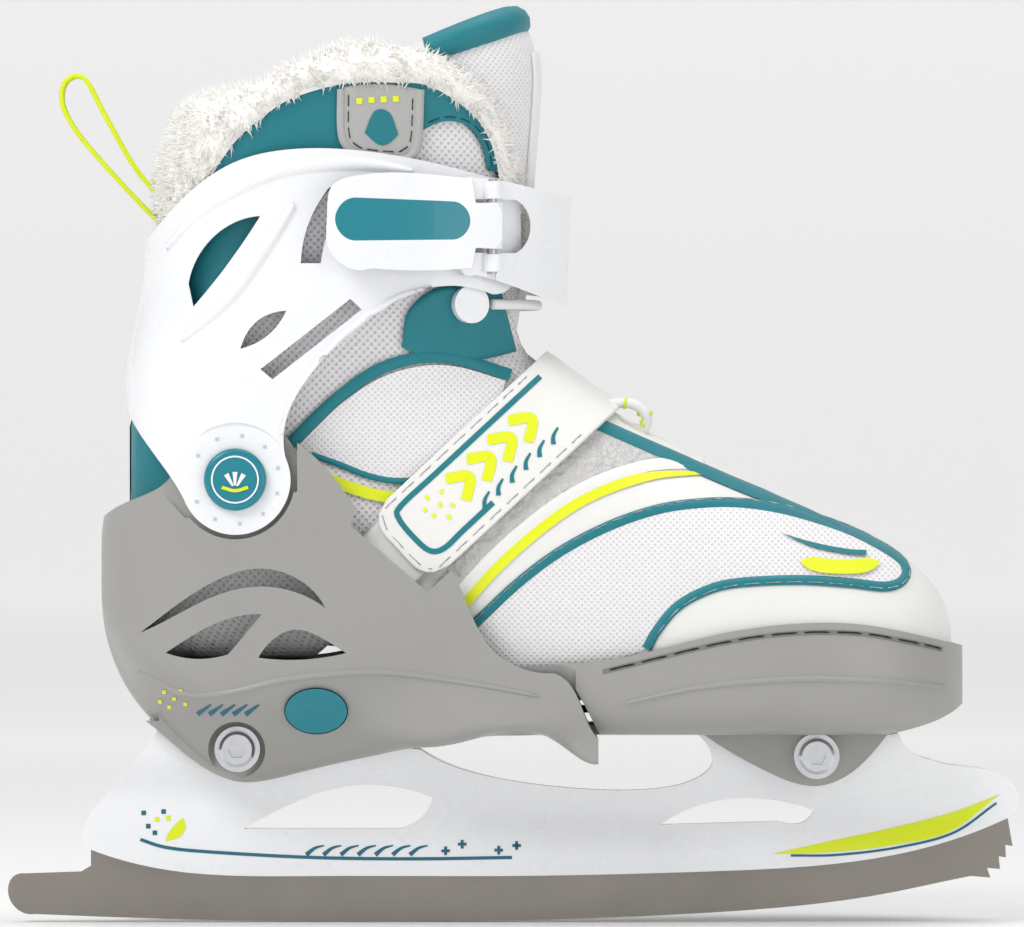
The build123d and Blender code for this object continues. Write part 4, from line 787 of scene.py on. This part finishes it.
# ---------------------------------------------------------------- collar panels
# Teal cloth panels sewn over the ankle mesh: the collar, the eyestay round the hook and two bindings.
# A grey rubber patch with a stitched rim carries a plain leaf and dots.
ankle_skin = on_boot(0.0)
COLLAR_UPPER = [(-102, 209), (-96.6, 214), (-90, 225), (-81.6, 236.5), (-72, 244.5), (-63.6, 249.5), (-50, 253),
                (-36, 253.5), (-24.6, 252), (-12.6, 244.5), (-6.6, 235.5), (-4.4, 226)]
COLLAR_LOWER = [(-102, 160), (-90, 190), (-75, 205), (-62, 215), (-48, 224), (-38, 230), (-33.6, 232),
                (-28, 237), (-20.6, 240.6), (-13.6, 239.5), (-9, 234), (-7.2, 226)]
for side, tag in ((-1, "outer"), (1, "inner")):
    side_patch(f"collar_panel_{tag}", ankle_skin, COLLAR_UPPER, COLLAR_LOWER, teal_cloth, "cuff_body", side,
               lift=0.0004, columns=60, rows=16, thick=0.0006)
    stitches(f"collar_thread_{tag}", ankle_skin, offset_line(COLLAR_LOWER[5:], 1.2), thread_teal, "cuff_body", side,
             lift=0.0006, length=1.5, gap=1.0)
    side_patch(f"eyestay_{tag}", ankle_skin,
               [(-33, 173), (-31, 184), (-22, 191), (-10, 191.5), (-3.6, 190)],
               [(-33, 173), (-24, 169.6), (-14, 169), (-6, 170), (1, 172)], teal_cloth, "cuff_body", side,
               lift=0.0006, columns=30, rows=12, thick=0.0006)
    side_strip(f"upper_binding_{tag}", ankle_skin,
               [(-68, 142.5), (-65, 145.5), (-57.6, 153), (-50, 159.6), (-39.6, 166.5), (-27.6, 170), (-16.2, 169.5),
                (-0.6, 164.7)], 3.6, teal_cloth, None, side, lift=0.0004, crown=0.0007, count=70, blend=CUFF_STRETCH)
    side_strip(f"lower_binding_{tag}", ankle_skin, [(-60, 141), (-51.6, 138), (-43, 134.6), (-35, 133), (-28, 133)],
               1.8, teal_cloth, None, side, lift=0.0004, crown=0.0005, count=40, blend=CUFF_STRETCH)
    side_patch(f"quarter_{tag}", ankle_skin,
               [(-64, 143.5), (-57.6, 150), (-50, 157), (-39.6, 163.8), (-27.6, 167.4), (-16.2, 167.2), (-2, 163)],
               [(-64, 143), (-56, 140), (-51.6, 138.6), (-43, 135.6), (-35, 134), (-22, 135), (-8, 140)], fine_mesh,
               None, side, lift=0.0003, columns=40, rows=20, bulge=0.001, blend=CUFF_STRETCH)
    side_strip(f"lime_line_rear_{tag}", ankle_skin, [(-56, 134), (-48, 131), (-39.6, 128.7), (-30, 128)], 3.4,
               lime_print, None, side, lift=0.0005, count=30, blend=CUFF_STRETCH)


def heel_panel_place(i, j):
    u = 2 * i / 40 - 1
    z = 112 + 40 * j / 16
    back = back_line(z) - 0.75
    spot = boot_point(back + (-99 - back) * (1 - math.cos(u * math.pi / 2)), z, -1 if u < 0 else 1, 0.8)
    if abs(u) < 1e-6:
        spot.y = 0
    return spot * MM


link("heel_panel", cut_sheet(40, 16, heel_panel_place, from_ankle), teal_cloth, "chassis")

# ---------------------------------------------------------------- badge
# A soft grey rubber patch moulded with a raised rim and sewn to the collar on the outer side.
badge_rubber = finish("badge_rubber", (0.42, 0.42, 0.41), 0.5, marks=0.05, grain=1800.0)
badge_face = on_boot(1.3)
side_patch("badge", badge_face, [(-50.6, 250.5), (-44, 251.4), (-36, 251.4), (-27.8, 250.2)],
           [(-50.6, 236), (-46.5, 231), (-34, 229.6), (-28.4, 233)], badge_rubber, "cuff_body", -1, columns=20, rows=16,
           thick=0.0012, replaced=["side_badge"], slot="badge_grey")
side_strip("badge_rim", badge_face, [(-51, 250), (-51, 238), (-49.4, 233), (-45.5, 230.4), (-34, 229.2),
                                     (-29.8, 230.6), (-28, 235), (-27.4, 250)], 2.4, badge_rubber, "cuff_body", -1,
           lift=0.0001, crown=0.0007, count=60)
stitches("badge_thread", badge_face, [(-48.8, 249), (-48.8, 238), (-47.6, 234.4), (-44.6, 232.4), (-34.6, 231.4),
                                      (-31.6, 232.6), (-30.2, 236), (-29.7, 248)], thread_dark, "cuff_body", -1,
         length=1.3, gap=1.1, lift=0.0003)
side_patch("badge_leaf", badge_face, [(-44, 237), (-41, 243.5), (-36.6, 243), (-34, 236.5)],
           [(-44, 237), (-40, 233.6), (-37, 233.8), (-34, 236.5)], teal_cloth, "cuff_body", -1, lift=0.0004,
           columns=16, rows=8)
for k, (x, z) in enumerate(((-45.6, 246.5), (-42, 246.8), (-38.4, 247), (-34.8, 247.2))):
    side_strip(f"badge_dot_{k}", badge_face, [(x - 0.9, z), (x + 0.9, z)], 1.8, lime_print, "cuff_body", -1,
               lift=0.0004, count=4)

# ---------------------------------------------------------------- instep strap
# A padded faux-leather strap over the instep, with two sewn edges and a printed outline.
# It is fixed on the inner side and its free end holds on a tab; prints are plain chevrons and dots.
BAND_FROM, BAND_WAY, BAND_UP = (-36.5, 109.9), (0.7314, 0.6820), (-0.6820, 0.7314)


def band_xz(along, across):
    return (BAND_FROM[0] + BAND_WAY[0] * along + BAND_UP[0] * across,
            BAND_FROM[1] + BAND_WAY[1] * along + BAND_UP[1] * across)


def band_crest(across, grow):
    """How far along the strap the boot's ridge lies."""
    low, high = 40.0, 110.0
    for _ in range(26):
        middle = (low + high) / 2
        x, z = band_xz(middle, across)
        if max(foot_reach(x, z, grow)[0], leg_reach(x, z, grow)) > 0:
            low = middle
        else:
            high = middle
    return low


def band_rows(rows, half, first, last, grow, corner=8.0):
    """The strap's lines lengthways, from its free end over the ridge to its sewn end, in mm."""
    lines = []
    for j in range(rows + 1):
        across = half * (2 * j / rows - 1)
        over = max(abs(across) - (half - corner), 0)
        start = first + corner - math.sqrt(max(corner**2 - over**2, 0))
        crest = band_crest(across, grow)
        line = []
        for k in range(40):
            x, z = band_xz(start + (crest - start) * math.sin(k / 40 * math.pi / 2), across)
            line.append(boot_point(x, z, -1, grow))
        x, z = band_xz(crest, across)
        line.append(Vector((x, boot_point(x, z, 1, grow).y, z)))
        for k in range(39, -1, -1):
            x, z = band_xz(last + (crest - last) * math.sin(k / 40 * math.pi / 2), across)
            line.append(boot_point(x, z, 1, grow))
        lines.append(smooth_path(line, 91))
    return lines


strap_rows = band_rows(16, 13.6, 3.5, 26, 4.0)
strap_leather = finish("strap_leather", (0.83, 0.825, 0.80), 0.4, marks=0.05, marks_size=60.0, grain=1500.0,
                       grain_depth=0.00004)
strap = link("strap", cut_sheet(90, 16, lambda i, j: strap_rows[j][i] * MM, away_from_middle), strap_leather,
             "instep_flap", ["instep_strap"], slot="strap_leather")
thicken(strap, 0.0024)
roll_edge(strap, 0.0007, 3).harden_normals = True
strap_top = on_boot(4.0)


def band_line(points):
    return [band_xz(a, w) for a, w in points]


side_strip("strap_outline", strap_top, band_line([(70, 9.2), (50, 9.2), (28, 9.2), (13, 9.2), (10.2, 7), (9.6, 0),
                                                   (10.4, -6.4), (14, -8.8), (22, -8.8), (34, -8.8)]),
           1.7, teal_cloth, "instep_flap", count=110, lift=0.00015)
for k, across in enumerate((11.9, -11.9)):
    stitches(f"strap_thread_{k}", strap_top, band_line([(8, across), (40, across), (68, across)]), thread_white,
             "instep_flap", length=1.6, gap=1.8, lift=0.0001)
stitches("strap_thread_end", strap_top, band_line([(8, 11.9), (5.6, 8), (5.2, 0), (5.6, -8), (8, -11.9)]), thread_white,
         "instep_flap", length=1.6, gap=1.8, lift=0.0001)
for k in range(4):
    a = 30 + 8.5 * k
    side_strip(f"strap_chevron_{k}", strap_top, band_line([(a - 1.5, 6), (a + 4, 1.6), (a - 1.5, -2.8)]), 3.2,
               lime_print, "instep_flap", count=20, lift=0.00018)
for k in range(6):
    a = 31 + 5.6 * k
    side_strip(f"strap_slash_{k}", strap_top, band_line([(a, -8.4), (a + 1.6, -6.6), (a + 4.4, -5.6)]), 1.5, teal_cloth,
               "instep_flap", count=12, lift=0.0002, taper=lambda t: 1 - 0.6 * t)
for k, (a, w) in enumerate(((25, 4), (22, 1.4), (20.6, 5.6), (24.6, -1.2), (18.4, 0.4), (21.4, -3), (17.6, 3.4))):
    side_strip(f"strap_dot_{k}", strap_top, band_line([(a - 0.6, w), (a + 0.6, w)]), 1.2 + 0.12 * (k % 3),
               lime_print, "instep_flap", count=4, lift=0.00018)

# ---------------------------------------------------------------- strap tabs
# Two faux-leather tabs glued to the boot under the strap. The outer one holds its free end.
# The inner one is riveted on, and the strap is sewn to its edge.
def strap_tab(name, node, side, first, last, grow):
    """A tab laid on the boot along the strap's line, in mm, with a rolled edge."""
    def place(i, j):
        along = first + (last - first) * i / 40
        x, z = band_xz(along, 10.4 * (2 * j / 10 - 1))
        return boot_point(x, z, side, grow(along)) * MM

    tab = link(name, cut_sheet(40, 10, place, away_from_middle), strap_leather, "chassis", [node], slot="strap_leather")
    thicken(tab, 0.0012)
    roll_edge(tab, 0.0005)


def step_up(along):
    """The inner tab's height off the boot, in mm: low at its root and level with the strap's top at its edge."""
    share = min(max((along + 2) / 5, 0), 1)
    return 1.7 + 3.0 * share * share * (3 - 2 * share)


strap_tab("hook_tab", "strap_hook_tab", -1, -9.5, 25.6, lambda along: 1.7)
strap_tab("anchor_tab", "strap_anchor_tab", 1, -13.0, 23.4, step_up)

# ---------------------------------------------------------------- tongue
# A padded tongue in fine white mesh that stands above the collar, with a rolled teal edge and a smooth front.
TONGUE = [(178, 1.5, 15), (190, 3.0, 15.5), (205, 4.2, 16), (225, 5.6, 17), (245, 7.2, 19.5), (258, 7.6, 22),
          (267, 5.8, 23), (271, 3.0, 22)]


def tongue_place(i, j, columns=40, rows=44):
    share = 2 * i / columns - 1
    z = 178 + (271 - 178) * j / rows
    front, half = row_at(TONGUE, z)
    return Vector((front - 26 * abs(share) ** 2.2, half * math.sin(share * math.pi / 2), z - 9 * abs(share) ** 2.4
                   * (z - 178) / 93)) * MM


def ahead(point):
    return Vector((1, 0, 0))


tongue = link("tongue_pad", cut_sheet(40, 44, tongue_place, ahead), fine_mesh, "cuff_body", ["tongue"],
              slot="boot_mesh")
thicken(tongue, 0.005)
roll_edge(tongue, 0.0024, 4)


def tube(name, points, radius, material, body, count=80, around=12, flat=1.0, **kw):
    """A round tube along points given in metres, closed at both ends."""
    path = smooth_path(points, count)
    pipe = bmesh.new()
    bmesh.ops.create_cone(pipe, cap_ends=True, segments=around, radius1=1, radius2=1, depth=1)
    length = [v for v in pipe.edges if abs(v.verts[0].co.z - v.verts[1].co.z) > 0.5]
    bmesh.ops.subdivide_edges(pipe, edges=length, cuts=count - 2)
    up = Vector((0, 0, 1))
    frames = []
    for i, p in enumerate(path):
        along = (path[min(i + 1, count - 1)] - path[max(i - 1, 0)]).normalized()
        out = (up - along * up.dot(along))
        out = (out if out.length > 1e-3 else Vector((0, 1, 0)).cross(along)).normalized()
        frames.append((p, out, along.cross(out)))
        up = out
    for v in pipe.verts:
        i = round((v.co.z + 0.5) * (count - 1))
        p, out, across = frames[i]
        r = radius(i / (count - 1)) if callable(radius) else radius
        v.co = p + out * (v.co.x * r) + across * (v.co.y * r * flat)
    bmesh.ops.recalc_face_normals(pipe, faces=pipe.faces)
    return link(name, pipe, material, body, **kw)


roll = [tongue_place(i, 44) + Vector((-0.0025, 0, 0.0002)) for i in range(0, 41, 2)]
tube("tongue_roll", roll, lambda t: 0.0040 + 0.0012 * math.sin(math.pi * t), teal_cloth, "cuff_body", count=90)


def tongue_front_place(i, j):
    return tongue_place(14 + i, 4 + j * 1.2) + Vector((0.0014, 0, 0))


front_pad = link("tongue_front", cut_sheet(12, 30, tongue_front_place, ahead), faux_leather, "cuff_body")
thicken(front_pad, 0.0014)
roll_edge(front_pad, 0.0006)

# ---------------------------------------------------------------- lace loop
# A short white lace loop sewn to the ridge just ahead of the strap, with lime flecks woven in.
LACE = [(0.024, -0.002, 0.1535), (0.030, -0.003, 0.1562), (0.0365, -0.004, 0.1562), (0.0405, -0.0035, 0.1528),
        (0.0395, -0.002, 0.1486), (0.035, -0.001, 0.1488)]
tube("lace_loop", LACE, 0.0016, thread_white, None, count=50, flat=1.5, blend=SIZE_STRETCH)
lace_path = smooth_path(LACE, 9)
for k in (1, 3, 5, 6):
    ring = [lace_path[k], lace_path[k].lerp(lace_path[k + 1], 0.25)]
    tube(f"lace_fleck_{k}", ring, 0.00175, lime_web, None, count=4, flat=1.5, blend=SIZE_STRETCH)


# ---------------------------------------------------------------- throat lace
# A round white lace drawn across the tongue between the two moulded hooks.
LACED_Z, LACE_OUT = 186, 2.2
laced = [Vector((x, -leg_reach(x, LACED_Z, LACE_OUT), LACED_Z)) for x in (-6, 0, 4.4)]
laced += [Vector((7.6, 0, LACED_Z))] + [Vector((p.x, -p.y, p.z)) for p in reversed(laced)]
tube("throat_cord", [p * MM for p in laced], 0.00155, thread_white, "cuff_body", count=60, replaced=["throat_lace"],
     slot="lace_white")

# ---------------------------------------------------------------- insole
# A thin foam insole with a napped top, laid loose on the liner's sole under the heel and arch.
insole_foam = finish("insole_foam", (0.12, 0.12, 0.13), 0.92, marks=0.12, grain=1100.0, grain_depth=0.00014,
                     Sheen_Weight=0.3)
INSOLE_UP = 8.8  # mm from the boot's underside to the insole's top


def insole_place(i, j):
    x = -106.5 + 97.4 * i / 40
    top = row_at(FOOT, x)[1] + INSOLE_UP
    reach, lean = foot_reach(x, top, -5.8)
    return Vector((x, lean + (2 * j / 16 - 1) * (max(reach, 1.0) - 0.5), top)) * MM


insole = link("insole_pad", cut_sheet(40, 16, insole_place, lambda p: Vector((0, 0, 1))), insole_foam, "chassis",
              ["insole"], slot="insole_grey")
thicken(insole, 0.0026)
roll_edge(insole, 0.0008)

# ---------------------------------------------------------------- fleece lining
# Cream pile that lines the collar, turns over its rim and runs down the throat, tufted all over.
fleece = finish("fleece", (0.97, 0.945, 0.895), 0.95, marks=0.05, marks_size=200.0, grain=900.0, grain_depth=0.0003,
                Sheen_Weight=0.6)
tuft_fibre = finish("tuft_fibre", (1.0, 0.985, 0.955), 0.9, marks=0.06, marks_size=260.0, Sheen_Weight=0.5)


def rim_path(points, grow, count=120):
    """A drawn side-view line from the back's middle to the front, laid on the boot on its outer side."""
    path = smooth_path([(x, 0, z) for x, z in points], 240)
    laid = [boot_point(p.x, p.z, -1, grow) for p in path]
    laid[0].y = 0
    return smooth_path(laid, count)


RIM_FOOT = [(-105.3, 210.5), (-99, 212), (-96.6, 213), (-88, 227), (-81.6, 235.5), (-72, 243.5), (-63.6, 248),
            (-50, 251.6), (-36, 252), (-24.6, 251), (-12.6, 243.5), (-6.4, 234.5), (-3.6, 222), (-2.6, 206)]
RIM_OUT = [(-106.2, 226), (-100, 233), (-92, 239), (-82, 243.5), (-74, 248), (-63.6, 253.6), (-48, 258), (-34, 258),
           (-22, 255.6), (-10, 247), (-3.6, 236), (-0.6, 222), (-0.4, 206)]
RIM_TOP = [(-100.4, 245), (-94, 247.6), (-84, 249.4), (-75.6, 251.4), (-63.6, 258), (-47, 263.4), (-34, 262.6),
           (-21, 259), (-8.6, 249.4), (-1.6, 237), (2.2, 222), (2.4, 206)]
RIM_IN = [(-94, 241), (-88, 243), (-80, 245), (-73, 247.6), (-62, 253), (-47, 257.6), (-34, 256.6), (-22, 253), (-11, 245),
          (-5, 234), (-2, 220), (-2, 205)]
RIM_DEEP = [(-93.5, 205), (-86, 205), (-78, 205), (-70, 205), (-60, 205), (-47, 205), (-34, 205), (-22, 205), (-14, 205),
            (-9, 205), (-7, 204), (-6, 203)]
rims = [rim_path(RIM_FOOT, 0.6), rim_path(RIM_OUT, 2.6), rim_path(RIM_TOP, -2.5), rim_path(RIM_IN, -7.5),
        rim_path(RIM_DEEP, -9.0)]
rim_steps = [smooth_path([r[i] for r in rims], 25) for i in range(120)]


def rim_place(i, j):
    k = i - 119
    spot = rim_steps[abs(k)][j].copy()
    if k > 0:
        spot.y = -spot.y
    if k == 0:
        spot.y = 0
    return spot * MM


def off_rim(point):
    return Vector((0, 0, 1 if point.z > 0.25 else 0))


fleece_sheet = cut_sheet(238, 24, rim_place, off_rim)
fleece_sheet.normal_update()
spots = []
random.seed(7)
areas = [f.calc_area() for f in fleece_sheet.faces]
TUFTS = 16384
for face in random.choices(list(fleece_sheet.faces), weights=areas, k=TUFTS):
    a, b = random.random(), random.random()
    c = [loop.vert.co for loop in face.loops]
    spots.append(((c[0] * (1 - a) + c[1] * a) * (1 - b) + (c[3] * (1 - a) + c[2] * a) * b, face.normal.copy()))
link("fur_backing", fleece_sheet, fleece, "cuff_body", ["fur_collar"], slot="fur_cream")
pile = bmesh.new()
bmesh.ops.create_cone(pile, cap_ends=False, segments=3, radius1=1, radius2=0.0, depth=1)
bmesh.ops.remove_doubles(pile, verts=pile.verts, dist=1e-5)
bmesh.ops.subdivide_edges(pile, edges=[e for e in pile.edges if abs(e.verts[0].co.z - e.verts[1].co.z) > 0.5], cuts=1)
shape = [v.co.copy() for v in pile.verts]
while len(pile.verts) < len(shape) * TUFTS:
    bmesh.ops.duplicate(pile, geom=list(pile.verts) + list(pile.edges) + list(pile.faces))
pile.verts.ensure_lookup_table()
for k, (spot, normal) in enumerate(spots):
    wind = Vector((noise.noise(spot * 140), noise.noise(spot * 140 + Vector((5, 0, 0))),
                   noise.noise(spot * 140 + Vector((0, 9, 0)))))
    lean = (normal + wind * 1.1 + Vector((random.gauss(0, 0.3), random.gauss(0, 0.3), random.gauss(0, 0.3) - 0.15)))
    lean.normalize()
    side_way = lean.orthogonal().normalized()
    other_way = lean.cross(side_way)
    long, wide = random.uniform(0.0026, 0.0046), random.uniform(0.00028, 0.0005)
    curl = side_way * random.uniform(-0.0009, 0.0009)
    for m, p in enumerate(shape):
        t = p.z + 0.5
        pile.verts[k * len(shape) + m].co = (spot - normal * 0.0004 + lean * (long * t) + curl * (t * t)
                                             + side_way * (p.x * wide) + other_way * (p.y * wide))
pile.normal_update()
link("fur_tufts", pile, tuft_fibre, "cuff_body")

# ---------------------------------------------------------------- pull loop
# A loop of lime woven tape sewn into the collar's back seam.
LOOP = [(-104.4, 208), (-106.6, 211), (-119, 224), (-131, 238), (-135.6, 247), (-134.4, 253.6), (-129, 254.4), (-122.6, 243),
        (-114, 228), (-105.4, 217.4), (-103, 213)]
loop_path = smooth_path([(x * MM, 0, z * MM) for x, z in LOOP], 101)
loop_length = path_length(loop_path)
TAPE_WIDTH = 0.01


def tape_place(i, j):
    return loop_path[i] + Vector((0, (j / 8 - 0.5) * TAPE_WIDTH, 0))


loop_tape = link("loop_tape", cut_sheet(100, 8, tape_place, lambda p: Vector((-1, 0, 1))), lime_web, "cuff_body",
                 ["pull_loop"], slot="loop_lime")
thicken(loop_tape, 0.0014, 0)

# ---------------------------------------------------------------- studio
# A pale round floor that curves up into a low wall all round, outside every camera's place.
# Soft lamps stand over the object: a large key, a fill and a top light.
def far_glow(tree, surface, marked, bump):
    """The floor gives off a little light away from the lamps, so that it stays as pale there."""
    place = add(tree, "ShaderNodeTexCoord")
    away = add(tree, "ShaderNodeVectorMath", {0: (place, "Object")}, operation="LENGTH")
    glow = add(tree, "ShaderNodeMapRange", {"Value": (away, "Value"), "From Min": 0.4, "From Max": 2.2,
                                            "To Min": 0.0, "To Max": 0.3})
    tree.links.new(glow.outputs[0], surface.inputs["Emission Strength"])


floor_finish = finish("studio_floor", (0.94, 0.94, 0.94), 0.7, marks=0.0, height=far_glow)
BOWL = [(r, 0) for r in (0, 0.4, 0.8, 1.3, 2, 3, 4.5, 6.5)]
BOWL += [(8 + 1.2 * math.sin(a * math.pi / 16), 1.2 - 1.2 * math.cos(a * math.pi / 16)) for a in range(9)]


def bowl_place(i, j):
    turn = i * math.tau / 96
    return Vector((BOWL[j][0] * math.cos(turn), BOWL[j][0] * math.sin(turn), BOWL[j][1]))


sweep = grid_of(96, len(BOWL) - 1, bowl_place)
bmesh.ops.remove_doubles(sweep, verts=sweep.verts, dist=1e-5)
bmesh.ops.dissolve_degenerate(sweep, dist=1e-6, edges=sweep.edges)
outward(sweep, lambda p: Vector((0, 0, 1)))
floor_mesh = bpy.data.meshes.new("floor")
sweep.to_mesh(floor_mesh)
sweep.free()
floor_mesh.materials.append(floor_finish)
for face in floor_mesh.polygons:
    face.use_smooth = True
floor = bpy.data.objects.new("floor", floor_mesh)
bpy.context.scene.collection.objects.link(floor)

aim = Vector((0, 0, 0.1383))


def lamp(name, place, size, power, colour=(1, 1, 1)):
    light = bpy.data.lights.new(name, "AREA")
    light.shape, light.size, light.size_y = "RECTANGLE", size[0], size[1]
    light.energy, light.color = power, colour
    holder = bpy.data.objects.new(name, light)
    bpy.context.scene.collection.objects.link(holder)
    holder.location = place
    holder.rotation_euler = (aim - Vector(place)).to_track_quat("-Z", "Y").to_euler()


lamp("key", (-0.9, -1.0, 1.25), (0.7, 0.7), 13)
lamp("fill", (1.3, -1.3, 0.35), (1.0, 1.0), 5)
lamp("top", (0.15, 0.1, 1.6), (1.2, 0.8), 11)
world = bpy.data.worlds.new("studio")
bpy.context.scene.world = world
world.use_nodes = True
world.node_tree.nodes["Background"].inputs["Color"].default_value = (1, 1, 1, 1)
world.node_tree.nodes["Background"].inputs["Strength"].default_value = 0.48

view_camera = bpy.data.cameras.new("camera")
view_camera.sensor_width = 36
view_camera.lens = 400
camera = bpy.data.objects.new("camera", view_camera)
bpy.context.scene.collection.objects.link(camera)
away = 0.3072 * 400 / 36
camera.location = (aim.x, -away - 0.02, aim.z)
camera.rotation_euler = (aim - Vector(camera.location)).to_track_quat("-Z", "Y").to_euler()
bpy.context.scene.camera = camera
bpy.context.scene.view_settings.view_transform = "Standard"
